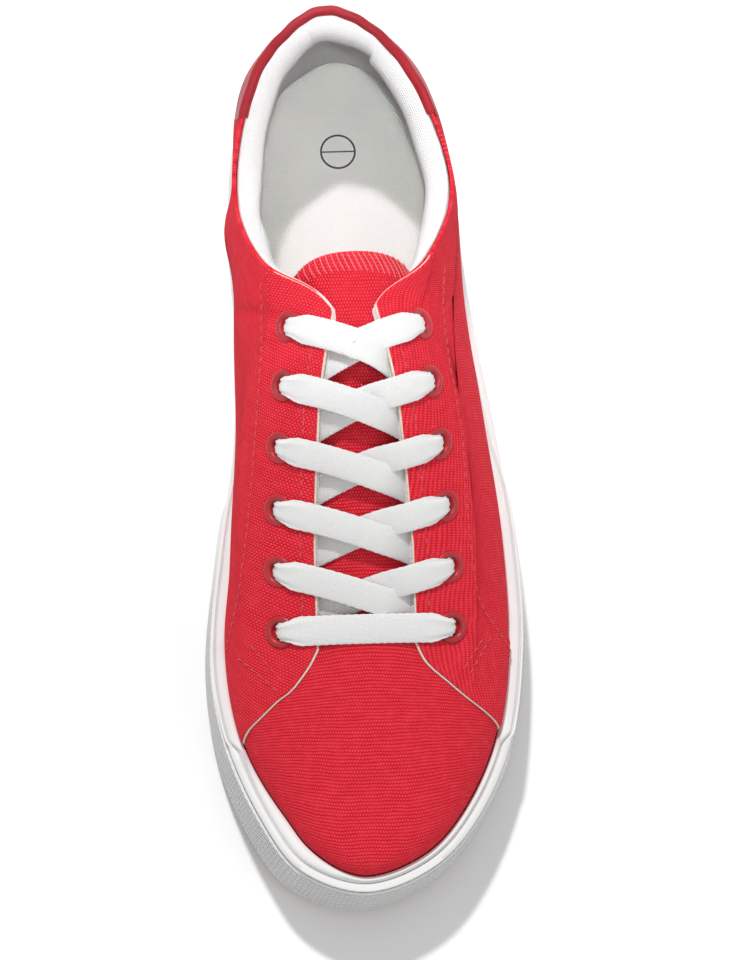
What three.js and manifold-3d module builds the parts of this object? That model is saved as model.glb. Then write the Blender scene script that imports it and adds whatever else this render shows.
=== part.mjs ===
// A left canvas sneaker, standing empty on its sole. Millimetres, +Z up, the toe points to -Y and the outer
// (lateral) side of the foot to +X. The origin is on the ground under the middle of the shoe.
import * as THREE from "three";
import { mergeVertices } from "three/addons/utils/BufferGeometryUtils.js";
import Module from "manifold-3d";

const wasm = await Module();
wasm.setup();

// ---------------------------------------------------------------- driving dimensions

const GAP = 0.3; // clearance between pieces that meet
const HALF_LENGTH = 139; // half the length of the sole
const AXIS_X = -3.4; // the line from heel centre to toe tip, which leaves the shoe centred on x = 0
const LATERAL = 1; // the side of the little toe
const MEDIAL = -1; // the side of the big toe

const TOE_SPRING = 7; // how far the toe's tip is lifted off the ground
const SPRING_START = -48; // where the sole starts to curl up, just ahead of the ball
const ARCH_LIFT = 0.8; // hollow under the waist
const ARCH_MIDDLE = 22; // y of its highest point
const ARCH_REACH = 44; // from there to where it ends
const TOE_LEAN = 2.6; // how far the toe leans to the outer side between the ground and the top of the wall
const LEAN_START = -62; // y where the lean begins
const LEAN_FULL = -125; // and where it is full

const WALL_TOP = 27.6; // white wall, where the canvas leaves it
const WALL_LIP = 24.4; // its outer lip
const WALL_BOTTOM = 0.9; // the white rim stays clear of the ground
const WALL_LEAN = 1.3; // how much narrower the wall is at the lip than at the ground
const WALL_BAND = 4.4; // from the lip's outer face in to the canvas
const TOE_BAND = 2.2; // how much broader that band is beside the big toe
const BAND_STATIONS = [8, 9.4, 9.8]; // where it starts to broaden, is broadest and narrows again
const OUTSOLE_INSET = 2.4; // white rim showing round the brown sole
const OUTSOLE_TOP = 4.6;
const TREAD_DEPTH = 1.8;
const TREAD_RIM = 7; // plain border of the tread
const HEEL_FLOOR = 17.4; // top of the white cup's floor under the heel
const BALL_FLOOR = 13.6; // and under the ball
const INSOLE_THICKNESS = 3.4;
const BUMPER_THICKNESS = 1.0;
const BUMPER_STATION = 5.55; // where the textured toe strip starts, in stations from the heel

const UPPER_WALL = 1.9; // canvas with its lining
const SPLAY = 6; // how strongly the upper's sections turn to face outwards round the heel and the toe
const COLLAR_FRONT = 46; // ahead of this the canvas may reach the throat
const THROAT_END = -61; // front end of the lacing gap
const TAB_THICKNESS = 1.1; // heel tab
const COLLAR_PADDING = 4.2;

const EYELETS = 6; // on each side
const EYELET_OUTER = 4.9; // radius of the ring
const EYELET_HOLE = 2.5; // radius of its hole
const EYELET_BARREL = 3.0; // radius of the tube through the canvas
const EYELET_PROUD = 0.8; // height of the ring
const EYELET_SEAT = 0.45; // from the curved canvas up to the flat underside of the ring
const EYELET_ASIDE = 10.3; // from the edge of the throat to the eyelet's centre, across the shoe
const FIRST_EYELET = 28.4; // y of the top pair
const LAST_EYELET = -59; // y of the bottom pair
const LACE_WIDTH = 7.6;
const LACE_THICKNESS = 1.2;

// Sections of the sole at the ground, heel to toe: half widths from the axis on each side.
const SOLE = [
  { y: 139, medial: 0, lateral: 0 },
  { y: 130, medial: 20, lateral: 20.5 },
  { y: 110, medial: 32.5, lateral: 33.5 },
  { y: 79, medial: 35.3, lateral: 37 },
  { y: 44, medial: 34.2, lateral: 41 },
  { y: 9, medial: 35.8, lateral: 46.6 },
  { y: -26, medial: 41.6, lateral: 51.2 },
  { y: -60, medial: 45.6, lateral: 52.2 },
  { y: -89, medial: 42.9, lateral: 47 },
  { y: -114, medial: 34.2, lateral: 34.4 },
  { y: -130.5, medial: 22.6, lateral: 18.8 },
  { y: -137.8, medial: 2.4, lateral: -2.4 },
];

// The upper over the same sections. topY, topZ and the half widths from the axis give the collar's edge, or
// from the throat on the ridge of the instep and vamp, where the two halves meet. lean is the angle of the
// canvas from upright where it ends there, in degrees, and slope how steeply the ridge falls to the toe.
// crown is the length of the curve's handle there, and rise and the two bulges are how far up and how far out
// its handle at the sole reaches.
const UPPER_COLUMNS = [
  "topY", "topZ", "medialTop", "lateralTop", "lean", "slope", "crown", "rise", "medialBulge", "lateralBulge",
];
const UPPER = [
  [128, 86, 4.4, -4.4, 12, 0, 18, 20, 5, 5],
  [121.5, 84.5, 17.6, 9.8, 12, 0, 18, 20, 6, 5],
  [106, 77, 28.8, 23.4, 10, 0, 15, 18, 10, 5],
  [77, 67.5, 34.4, 33, 8, 0, 12, 16, 12, 6],
  [49, 82.5, 27, 23.4, 30, 0, 18, 18, 14, 5],
  [18, 93.6, -0.6, 0.6, 86, 0.42, 30, 20, 15, 4],
  [-20, 76, -1.2, 1.2, 89, 0.47, 30, 18, 8, 3],
  [-56, 58.6, -2, 2, 90, 0.38, 28, 15, 2, 1],
  [-78, 52, -2, 2, 90, 0.29, 24, 12, 0, 0],
  [-90, 49, -2, 2, 90, 0.26, 22, 9, 0, 0],
  [-97, 47.2, -1.5, 1.5, 87, 0.25, 22, 8.5, 0, 0],
  [-99.5, 46.6, -1.2, 1.2, 85, 0.25, 22, 8.5, 0, 0],
].map((row) => Object.fromEntries(row.map((value, i) => [UPPER_COLUMNS[i], value])));
const TOE = SOLE.length - 1; // the station of the toe's tip; the heel's back is station 0

// The throat: its middle line, and half the gap between its two edges.
const THROAT = [
  { y: THROAT_END, x: -1.4, half: 15.4 },
  { y: -36, x: -1.8, half: 15.2 },
  { y: -16, x: -2.2, half: 14 },
  { y: 5, x: -2.6, half: 12.2 },
  { y: 24, x: -2.9, half: 8.8 },
  { y: 34, x: -3, half: 9.2 },
];

// The tongue: the height of its outer face on its middle line, its half width, and how far its edges drop.
const TONGUE = [
  { y: -68, z: 52.4, half: 19, drop: 5 },
  { y: -56, z: 55.8, half: 21, drop: 5.5 },
  { y: -38, z: 63.6, half: 22, drop: 7 },
  { y: -20, z: 72.2, half: 22, drop: 9 },
  { y: 0, z: 80.8, half: 22, drop: 11.5 },
  { y: 18, z: 88, half: 21, drop: 14.5 },
  { y: 28, z: 91, half: 20, drop: 17 },
  { y: 35, z: 94, half: 19.5, drop: 19.6 },
  { y: 40, z: 97.4, half: 18.5, drop: 19.6 },
  { y: 44, z: 100.2, half: 19.5, drop: 20.5 },
  { y: 46.6, z: 101, half: 17.5, drop: 15 },
];
const TONGUE_THICKNESS = 2.4;

// ---------------------------------------------------------------- curves and surfaces

// A smooth value through the rows of a table, at a station counted in rows.
function smooth(valueAt, station) {
  const k = Math.floor(station);
  const t = station - k;
  const [a, b, c, d] = [k - 1, k, k + 1, k + 2].map(valueAt);
  return b + 0.5 * t * (c - a + t * (2 * a - 5 * b + 4 * c - d + t * (3 * (b - c) + d - a)));
}

// A column of a table of sections. Past the heel or the toe it goes on round the other side.
function section(rows, side, station, read) {
  const valueAt = (k) => {
    if (k < 0) return read(rows[-k], -side);
    if (k > TOE) return read(rows[2 * TOE - k], -side);
    return read(rows[k], side);
  };
  return smooth(valueAt, station);
}

// A straight-line value from a table whose rows run up in y.
function tableAt(rows, name, y) {
  const next = Math.max(1, rows.findIndex((row) => row.y >= y));
  const [low, high] = y > rows.at(-1).y ? rows.slice(-2) : [rows[next - 1], rows[next]];
  const t = THREE.MathUtils.clamp((y - low.y) / (high.y - low.y), 0, 1);
  return low[name] + (high[name] - low[name]) * t;
}

const halfWidth = (row, side) => side * (side === LATERAL ? row.lateral : row.medial);
const halfTop = (row, side) => side * (side === LATERAL ? row.lateralTop : row.medialTop);

// How far the toe spring lifts a point of the sole or the footbed.
function springAt(y) {
  const t = Math.max(0, (SPRING_START - y) / (SPRING_START + HALF_LENGTH));
  return TOE_SPRING * t * t;
}

// The same with the hollow under the waist, for the underside.
function liftAt(y) {
  const t = Math.min(1, Math.abs((y - ARCH_MIDDLE) / ARCH_REACH));
  return springAt(y) + ARCH_LIFT * (1 - t * t) ** 2;
}

// How far the toe's lean carries a point sideways. It is full from the top of the white wall upwards.
function leanAt({ y, z }) {
  const { clamp, smoothstep } = THREE.MathUtils;
  return TOE_LEAN * smoothstep(-y, -LEAN_START, -LEAN_FULL) * clamp(z / WALL_TOP, 0, 1);
}

// The footbed falls from the heel to the ball, then rises with the toe.
function floorAt(y) {
  const t = THREE.MathUtils.smoothstep(y, -45, 62);
  return BALL_FLOOR + (HEEL_FLOOR - BALL_FLOOR) * t + springAt(y);
}

// A point of the sole's outline at the ground, moved in by some distance.
function outline(side, station, inset) {
  const at = (s) => [
    AXIS_X + section(SOLE, side, s, halfWidth),
    section(SOLE, side, s, (row) => row.y),
  ];
  const step = 0.02;
  const [x, y] = at(station);
  const [x0, y0] = at(station - step);
  const [x1, y1] = at(station + step);
  const length = Math.hypot(x1 - x0, y1 - y0);
  const outward = [(-side * (y1 - y0)) / length, (side * (x1 - x0)) / length];
  return { x: x - outward[0] * inset, y: y - outward[1] * inset, outward };
}

// How far the upper's outer face is inside the white wall's outline at the ground.
function canvasInset(side, station) {
  const { smoothstep } = THREE.MathUtils;
  const [from, full, fade] = BAND_STATIONS;
  const beside = smoothstep(station, from, full) * (1 - smoothstep(station, fade, TOE));
  return WALL_LEAN + WALL_BAND + GAP + (side === MEDIAL ? TOE_BAND * beside : 0);
}

// The line where the canvas leaves the white wall.
function featherPoint(side, station) {
  const { x, y } = outline(side, station, canvasInset(side, station));
  return new THREE.Vector3(x, y, WALL_TOP + springAt(y));
}

function topPoint(side, station) {
  return new THREE.Vector3(
    AXIS_X + section(UPPER, side, station, halfTop),
    section(UPPER, side, station, (row) => row.topY),
    section(UPPER, side, station, (row) => row.topZ),
  );
}

// The upper's outer face: v is -1 on the cup's floor, 0 at the feather line, 1 at the collar or the ridge.
function upperPoint(side, station, v) {
  const foot = featherPoint(side, station);
  if (v < 0) {
    const bottom = floorAt(foot.y) + GAP;
    return foot.setZ(foot.z + (foot.z - bottom) * v);
  }
  const read = (name) => section(UPPER, side, station, (row) => row[name]);
  const top = topPoint(side, station);
  const [ox, oy] = outline(side, station, 0).outward;
  const out = new THREE.Vector3(foot.x - top.x + ox * SPLAY, foot.y - top.y + oy * SPLAY, 0);
  out.normalize();
  const lean = THREE.MathUtils.degToRad(read("lean"));
  const bulge = read(side === LATERAL ? "lateralBulge" : "medialBulge");
  const sideHandle = foot.clone().addScaledVector(out, bulge);
  sideHandle.z += read("rise");
  const topHandle = top.clone().addScaledVector(out, Math.sin(lean) * read("crown"));
  topHandle.z += (out.y * read("slope") - Math.cos(lean)) * read("crown");
  return new THREE.CubicBezierCurve3(foot, sideHandle, topHandle, top).getPoint(v);
}

function upperNormal(side, station, v) {
  const ds = 0.03;
  const dv = 0.015;
  const atV = THREE.MathUtils.clamp(v, dv, 1 - dv);
  const along = upperPoint(side, station + ds, atV).sub(upperPoint(side, station - ds, atV));
  const up = upperPoint(side, station, atV + dv).sub(upperPoint(side, station, atV - dv));
  return along.cross(up).multiplyScalar(-side).normalize();
}

// The upper's outer face moved out by some distance, or in where it is negative.
function upperOffset(side, station, v, distance) {
  const point = upperPoint(side, station, v);
  if (v <= 0) {
    const [ox, oy] = outline(side, station, 0).outward;
    return point.add(new THREE.Vector3(ox * distance, oy * distance, 0));
  }
  return point.addScaledVector(upperNormal(side, station, v), distance);
}

const middleX = (y) => tableAt(THROAT, "x", y);

function bisect(low, high, isLow) {
  for (let i = 0; i < 30; i++) {
    const middle = (low + high) / 2;
    if (isLow(middle)) low = middle;
    else high = middle;
  }
  return (low + high) / 2;
}

// The station whose curve ends on the ridge or collar at y.
function stationOfTop(y) {
  return bisect(0, TOE, (s) => topPoint(LATERAL, s).y > y);
}

// How far up its section the canvas goes: to the collar or ridge, or to the edge of the throat.
function edgeOf(side, station) {
  const fromEdge = (v) => {
    const p = upperPoint(side, station, v);
    return side * (p.x - middleX(p.y)) - tableAt(THROAT, "half", p.y);
  };
  if (topPoint(side, station).y > COLLAR_FRONT || fromEdge(1) > 0) return 1;
  return bisect(0.3, 1, (v) => fromEdge(v) > 0);
}

// ---------------------------------------------------------------- solids from grids of points

// A closed skin of triangles, gathered from four-sided faces and leaned with the toe.
class Skin {
  constructor() {
    this.corners = [];
  }
  triangle(...points) {
    const [a, b, c] = points;
    if (a.distanceTo(b) < 1e-3 || b.distanceTo(c) < 1e-3 || c.distanceTo(a) < 1e-3) return;
    for (const p of points) this.corners.push(p.x + leanAt(p), p.y, p.z);
  }
  face(a, b, c, d) {
    this.triangle(a, b, c);
    this.triangle(a, c, d);
  }
  geometry() {
    const loose = new THREE.BufferGeometry();
    loose.setAttribute("position", new THREE.Float32BufferAttribute(this.corners, 3));
    return facingOut(mergeVertices(loose, 1e-3));
  }
}

// The geometry with its faces turned outwards, whichever way round its grid ran.
function facingOut(geometry) {
  const { position } = geometry.attributes;
  const index = geometry.index.array;
  const [a, b, c] = [0, 1, 2].map(() => new THREE.Vector3());
  let volume = 0;
  for (let i = 0; i < index.length; i += 3) {
    a.fromBufferAttribute(position, index[i]);
    b.fromBufferAttribute(position, index[i + 1]);
    c.fromBufferAttribute(position, index[i + 2]);
    volume += a.dot(b.cross(c));
  }
  if (volume < 0) {
    for (let i = 0; i < index.length; i += 3) {
      [index[i], index[i + 1]] = [index[i + 1], index[i]];
    }
  }
  return geometry;
}

// A sheet with two faces and closed edges. hasCell says which cells of the grid are there, round says that
// the first column follows the last, and sealed says where the last row already meets its other half.
function thickSheet(outer, inner, { hasCell = () => true, round = false, sealed = () => false } = {}) {
  const skin = new Skin();
  const columns = outer.length - (round ? 0 : 1);
  const rows = outer[0].length - 1;
  const wrap = (i) => (round ? (i + outer.length) % outer.length : i);
  const present = (i, j) =>
    j >= 0 && j < rows && (round || (i >= 0 && i < columns)) && hasCell(wrap(i), j);
  const edge = (i, j, k, l) => skin.face(outer[i][j], outer[k][l], inner[k][l], inner[i][j]);
  for (let i = 0; i < columns; i++) {
    const n = wrap(i + 1);
    for (let j = 0; j < rows; j++) {
      if (!present(i, j)) continue;
      skin.face(outer[i][j], outer[n][j], outer[n][j + 1], outer[i][j + 1]);
      skin.face(inner[i][j + 1], inner[n][j + 1], inner[n][j], inner[i][j]);
      if (!present(i, j - 1)) edge(n, j, i, j);
      if (!present(i, j + 1) && !(j === rows - 1 && sealed(i))) edge(i, j + 1, n, j + 1);
      if (!present(i - 1, j)) edge(i, j, i, j + 1);
      if (!present(i + 1, j)) edge(n, j + 1, n, j);
    }
  }
  return skin.geometry();
}

// The perimeter of the shoe as a list of sides and stations, from the heel by the outer side and back.
function perimeter(stations) {
  const lateral = stations.map((station) => ({ side: LATERAL, station }));
  const medial = stations.slice(1, -1).map((station) => ({ side: MEDIAL, station }));
  return [...lateral, ...medial.reverse()];
}

// A solid swept round the perimeter, whose profile runs from its top face to its bottom face. Both faces
// are closed by strips from side to side.
function sweptSole(stations, profile) {
  const skin = new Skin();
  const ring = perimeter(stations).map(({ side, station }) => profile(side, station));
  const count = ring.length;
  const last = ring[0].length - 1;
  for (let i = 0; i < count; i++) {
    const next = ring[(i + 1) % count];
    for (let j = 0; j < last; j++) {
      skin.face(ring[i][j], next[j], next[j + 1], ring[i][j + 1]);
    }
  }
  for (let i = 0; i < stations.length - 1; i++) {
    const across = (count - i) % count;
    skin.face(ring[across][0], ring[count - i - 1][0], ring[i + 1][0], ring[i][0]);
    skin.face(ring[i][last], ring[i + 1][last], ring[count - i - 1][last], ring[across][last]);
  }
  return skin.geometry();
}

// A profile point: the outline moved in, at a height that follows the curl of the sole.
function solePoint(side, station, inset, height) {
  const { x, y } = outline(side, station, inset);
  return new THREE.Vector3(x, y, height(y));
}

// A strip of some width along a path on the ground, between two heights above the curl of the sole.
function rib(path, width, low, high) {
  const skin = new Skin();
  const rows = path.map(([x, y], i) => {
    const [x0, y0] = path[Math.max(0, i - 1)];
    const [x1, y1] = path[Math.min(path.length - 1, i + 1)];
    const length = Math.hypot(x1 - x0, y1 - y0);
    const [nx, ny] = [(-(y1 - y0) / length) * (width / 2), ((x1 - x0) / length) * (width / 2)];
    const corner = (sign, z) => {
      const cy = y + sign * ny;
      return new THREE.Vector3(x + sign * nx, cy, z + liftAt(cy));
    };
    return [corner(1, low), corner(1, high), corner(-1, high), corner(-1, low)];
  });
  for (let i = 0; i < rows.length - 1; i++) {
    for (let j = 0; j < 4; j++) {
      const k = (j + 1) % 4;
      skin.face(rows[i][j], rows[i + 1][j], rows[i + 1][k], rows[i][k]);
    }
  }
  skin.face(...rows[0]);
  skin.face(...rows.at(-1).slice().reverse());
  return skin.geometry();
}

// ---------------------------------------------------------------- joining and cutting

function solidOf(geometry) {
  const bare = new THREE.BufferGeometry();
  bare.setAttribute("position", geometry.getAttribute("position"));
  bare.setIndex(geometry.index);
  const merged = mergeVertices(bare, 1e-3);
  const mesh = new wasm.Mesh({
    numProp: 3,
    vertProperties: new Float32Array(merged.attributes.position.array),
    triVerts: new Uint32Array(merged.index.array),
  });
  return new wasm.Manifold(mesh);
}

function geometryOf(solid) {
  const mesh = solid.getMesh();
  const geometry = new THREE.BufferGeometry();
  geometry.setAttribute("position", new THREE.BufferAttribute(mesh.vertProperties, 3));
  geometry.setIndex(new THREE.BufferAttribute(mesh.triVerts, 1));
  return geometry;
}

const joined = (geometries) => geometries.map(solidOf).reduce((all, one) => all.add(one));

// ---------------------------------------------------------------- sole

const range = (low, high, steps) =>
  Array.from({ length: steps + 1 }, (_, i) => low + ((high - low) * i) / steps);

const SOLE_STATIONS = range(0, TOE, 31);

// The white cup: an upright wall with a lip, a band that hugs the canvas, and a floor under the foot.
function makeSidewall() {
  const pocket = OUTSOLE_INSET;
  return sweptSole(SOLE_STATIONS, (side, station) => {
    const inner = canvasInset(side, station) - GAP;
    const at = (inset, z, curl = springAt) => solePoint(side, station, inset, (y) => z + curl(y));
    return [
      solePoint(side, station, inner, floorAt),
      at(inner, WALL_TOP),
      at(inner - 1.2, WALL_TOP - 0.2),
      at(WALL_LEAN + 1.7, WALL_LIP),
      at(WALL_LEAN + 1.1, WALL_LIP + 0.4),
      at(WALL_LEAN, WALL_LIP - 0.5),
      at(0, WALL_BOTTOM, liftAt),
      at(pocket, WALL_BOTTOM, liftAt),
      at(pocket, OUTSOLE_TOP + GAP, liftAt),
    ];
  });
}

// Points on an arc round a centre, from one angle to another in degrees.
function arc(x, y, radius, from, to, steps = 10) {
  return range(from, to, steps).map((angle) => {
    const a = THREE.MathUtils.degToRad(angle);
    return [x + radius * Math.cos(a), y + radius * Math.sin(a)];
  });
}

// Points on a straight line at an angle in degrees, through a middle point.
function bar(x, y, length, angle, steps = 4) {
  const a = THREE.MathUtils.degToRad(angle);
  return range(-length / 2, length / 2, steps).map((d) => [x + d * Math.cos(a), y + d * Math.sin(a)]);
}

const LUG = 4.2; // width of the tread's broad ribs
const VEIN = 1.8; // width of its narrow ribs

// The tread: a lattice under the heel, crossed bars at the waist's ends and rings under the ball and toe.
function treadRibs() {
  const heel = AXIS_X;
  const ball = AXIS_X + 2;
  const ribs = [
    { path: arc(heel, 98, 12.5, 0, 180), width: VEIN },
    { path: bar(heel - 12.5, 78, 42, 90), width: VEIN },
    { path: bar(heel + 12.5, 78, 42, 90), width: VEIN },
    { path: bar(heel, 66, 88, 90, 6), width: VEIN },
    { path: bar(heel + 1, 36, 62, -24), width: LUG },
    { path: bar(ball - 3, -14, 96, 62, 6), width: LUG },
    { path: bar(ball + 3, -14, 96, 118, 6), width: LUG },
    { path: bar(ball, -56, 108, 90, 8), width: VEIN },
    { path: arc(ball + 34, -62, 30, 100, 260), width: VEIN },
    { path: arc(ball - 34, -62, 30, -80, 80), width: VEIN },
  ];
  for (const y of [98, 84, 70, 56]) ribs.push({ path: bar(heel, y, 66, 24), width: LUG });
  for (const radius of [17, 31, 45]) {
    ribs.push({ path: arc(ball, -62, radius, 190, 350, 11), width: LUG });
  }
  return ribs;
}

// The brown sole: a plate with a plain border and the ribs of its tread.
function makeOutsole() {
  const edge = OUTSOLE_INSET + GAP;
  const recess = edge + TREAD_RIM;
  const profile = (side, station) => {
    const at = (inset, z) => solePoint(side, station, inset, (y) => z + liftAt(y));
    return [
      at(edge, OUTSOLE_TOP),
      at(edge, 0),
      at(recess, 0),
      at(recess + 0.5, TREAD_DEPTH),
    ];
  };
  const plate = solidOf(sweptSole(SOLE_STATIONS, profile));
  const inside = solidOf(
    sweptSole(SOLE_STATIONS, (side, station) => {
      const at = (z) => solePoint(side, station, recess - 0.6, (y) => z + liftAt(y));
      return [at(OUTSOLE_TOP - 0.5), at(-1)];
    }),
  );
  const ribs = joined(treadRibs().map(({ path, width }) => rib(path, width, 0, TREAD_DEPTH + 0.6)));
  return geometryOf(plate.add(ribs.intersect(inside)));
}

// The textured strip round the toe, on the outside of the white wall.
function makeToeBumper() {
  const stations = range(BUMPER_STATION, TOE, 18);
  const way = [
    ...stations.map((station) => ({ side: LATERAL, station })),
    ...stations.slice(0, -1).reverse().map((station) => ({ side: MEDIAL, station })),
  ];
  const face = (distance) =>
    way.map(({ side, station }) =>
      range(0, 1, 2).map((t) => {
        const low = WALL_BOTTOM + 0.4;
        const high = WALL_LIP - 0.5;
        const inset = WALL_LEAN * t - distance;
        return solePoint(side, station, inset, (y) => low + (high - low) * t + springAt(y));
      }),
    );
  return thickSheet(face(GAP + BUMPER_THICKNESS), face(GAP));
}

function makeInsole() {
  return sweptSole(range(0, TOE, 20), (side, station) => {
    const edge = canvasInset(side, station) + UPPER_WALL + GAP + 0.2;
    const at = (inset, z) => solePoint(side, station, inset, (y) => z + floorAt(y));
    return [at(edge + 1, GAP + INSOLE_THICKNESS), at(edge, GAP + INSOLE_THICKNESS - 1), at(edge, GAP)];
  });
}

// ---------------------------------------------------------------- upper

const WALL_ROWS = 5; // rows of faces from the feather line to the collar or the throat's edge
const CROWN_ROWS = 3; // rows from there to the ridge, where the vamp is closed
const throatStation = stationOfTop(THROAT_END);
const QUARTER_STATIONS = range(0, throatStation, 28);
const VAMP_STATIONS = range(throatStation, TOE, 12).slice(1);

// How far up each row of faces lies. Ahead of the throat the rows go on to the ridge.
function rowsUp(side, station) {
  const edge = edgeOf(side, Math.min(station, throatStation));
  const walls = range(0, edge, WALL_ROWS);
  const crown = range(edge, 1, CROWN_ROWS).slice(1);
  return [-1, ...walls, ...crown];
}

// The upper without its holes, with its outer face moved out by some distance.
function upperShell(swell) {
  const way = perimeter([...QUARTER_STATIONS, ...VAMP_STATIONS]);
  const vamp = QUARTER_STATIONS.length - 1; // the first column whose crown is closed
  const count = way.length;
  const closed = (i) => i >= vamp && i <= count - vamp - 1;
  const grid = (distance) =>
    way.map(({ side, station }) =>
      rowsUp(side, station).map((v) => {
        if (v < 1 - 1e-6 || station < throatStation - 1e-6) {
          return upperOffset(side, station, v, distance);
        }
        const normal = upperNormal(LATERAL, station, 1).add(upperNormal(MEDIAL, station, 1));
        return topPoint(LATERAL, station).addScaledVector(normal.normalize(), distance);
      }),
    );
  return thickSheet(grid(swell), grid(-UPPER_WALL), {
    round: true,
    hasCell: (i, j) => j <= WALL_ROWS || closed(i),
    sealed: closed,
  });
}

// Where an eyelet sits: its point on the canvas and the way it faces.
function eyeletPlace(side, k) {
  const y = FIRST_EYELET + ((LAST_EYELET - FIRST_EYELET) * k) / (EYELETS - 1);
  const away = tableAt(THROAT, "half", y) + EYELET_ASIDE;
  return onUpper(middleX(y) + side * away, y);
}

// The point of the upper's outer face over a place on the plan, with its normal.
function onUpper(x, y) {
  const side = x > middleX(y) ? LATERAL : MEDIAL;
  let v = 0.7;
  let station = 5;
  for (let i = 0; i < 6; i++) {
    station = bisect(1, TOE, (s) => upperPoint(side, s, v).y > y);
    v = bisect(0, 1, (t) => side * (upperPoint(side, station, t).x - x) > 0);
  }
  return {
    point: upperPoint(side, station, v),
    normal: upperNormal(side, station, v),
  };
}

function placed(geometry, point, normal) {
  const turn = new THREE.Quaternion().setFromUnitVectors(new THREE.Vector3(0, 1, 0), normal);
  return geometry.clone().applyQuaternion(turn).translate(point.x, point.y, point.z);
}

const SIDES = [
  { side: MEDIAL, word: "medial" },
  { side: LATERAL, word: "lateral" },
];
const eyelets = SIDES.flatMap(({ side, word }) =>
  range(0, EYELETS - 1, EYELETS - 1).map((k) => ({
    name: `eyelet_${word}_${k + 1}`,
    ...eyeletPlace(side, k),
  })),
);

function makeUpper() {
  const punch = new THREE.CylinderGeometry(EYELET_BARREL + 2 * GAP, EYELET_BARREL + 2 * GAP, 12, 8);
  punch.deleteAttribute("normal");
  punch.deleteAttribute("uv");
  const holes = eyelets.map(({ point, normal }) => placed(mergeVertices(punch, 1e-3), point, normal));
  return geometryOf(solidOf(upperShell(0)).subtract(joined(holes)));
}

function makeEyelet() {
  const low = -UPPER_WALL - 0.2;
  const profile = [
    [EYELET_HOLE, low],
    [EYELET_BARREL, low],
    [EYELET_BARREL, EYELET_SEAT],
    [EYELET_OUTER, EYELET_SEAT],
    [EYELET_HOLE + 0.6, EYELET_SEAT + EYELET_PROUD],
    [EYELET_HOLE, low],
  ];
  return new THREE.LatheGeometry(profile.map(([r, h]) => new THREE.Vector2(r, h)), 10);
}

// The tab of smooth leatherette over the heel, deepest at the back. reach counts the upper's own columns.
const TAB_REACH = 9;
const TAB_BOTTOM = [
  { y: 0, v: 0.46 },
  { y: 3, v: 0.5 },
  { y: 6, v: 0.6 },
  { y: TAB_REACH, v: 0.8 },
];

// A sheet round the heel with the upper's own columns, between two distances from its face.
function heelSheet(columns, rowsAt, far, near) {
  const face = (distance) =>
    range(-columns, columns, 2 * columns).map((k) => {
      const side = k < 0 ? MEDIAL : LATERAL;
      const station = QUARTER_STATIONS[Math.abs(k)];
      return rowsAt(Math.abs(k)).map((v) => upperOffset(side, station, v, distance));
    });
  return thickSheet(face(far), face(near));
}

function makeHeelTab() {
  const rowsAt = (k) => range(tableAt(TAB_BOTTOM, "v", k), 1, 4);
  const tab = heelSheet(TAB_REACH, rowsAt, GAP + TAB_THICKNESS, -0.5);
  const cutter = heelSheet(TAB_REACH + 1, () => [...range(0, 1, WALL_ROWS), 1.06], GAP, -6);
  return geometryOf(solidOf(tab).subtract(solidOf(cutter)));
}

// The padding inside the collar, thickest just under its edge. It thins out towards both ends.
const PADDING_REACH = 14;
const PADDING_ROWS = [1, 0.9, 0.8, 0.6, 0.46];
const PADDING_PLUMP = [0.45, 1, 1, 0.75, 0.2];

function makeCollarPadding() {
  const face = (thickness) =>
    range(-PADDING_REACH, PADDING_REACH, 2 * PADDING_REACH).map((k) => {
      const side = k < 0 ? MEDIAL : LATERAL;
      const station = QUARTER_STATIONS[Math.abs(k)];
      const fade = Math.min(1, 0.2 + (PADDING_REACH - Math.abs(k)) * 0.3);
      return PADDING_ROWS.map((v, j) => {
        const inward = UPPER_WALL + 2 * GAP + thickness * PADDING_PLUMP[j] * fade;
        return upperOffset(side, station, v, -inward);
      });
    });
  return thickSheet(face(0), face(COLLAR_PADDING));
}

// ---------------------------------------------------------------- tongue and laces

function makeTongue() {
  const stations = [...range(-68, 28, 9), ...TONGUE.slice(-4).map((row) => row.y)];
  const face = (thickness) =>
    stations.map((y) => {
      const [half, z, drop] = ["half", "z", "drop"].map((name) => tableAt(TONGUE, name, y));
      return range(-1, 1, 10).map(
        (t) => new THREE.Vector3(middleX(y) + t * half, y, z - drop * t * t - thickness),
      );
    });
  return thickSheet(face(0), face(TONGUE_THICKNESS));
}

// A flat lace from one point to another: each step has a place and the way its flat side faces.
function laceBand(steps) {
  const skin = new Skin();
  const rows = steps.map(({ point, normal }, i) => {
    const ahead = steps[Math.min(steps.length - 1, i + 1)].point;
    const behind = steps[Math.max(0, i - 1)].point;
    const across = ahead.clone().sub(behind).cross(normal).normalize().multiplyScalar(LACE_WIDTH / 2);
    const up = normal.clone().multiplyScalar(LACE_THICKNESS);
    const [left, right] = [point.clone().add(across), point.clone().sub(across)];
    return [left, right, right.clone().add(up), left.clone().add(up)];
  });
  for (let i = 0; i < rows.length - 1; i++) {
    for (let j = 0; j < 4; j++) {
      const k = (j + 1) % 4;
      skin.face(rows[i][j], rows[i + 1][j], rows[i + 1][k], rows[i][k]);
    }
  }
  skin.face(...rows[0]);
  skin.face(...rows.at(-1).slice().reverse());
  return skin.geometry();
}

const eyeletNamed = (word, k) => eyelets.find(({ name }) => name === `eyelet_${word}_${k}`);

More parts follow.
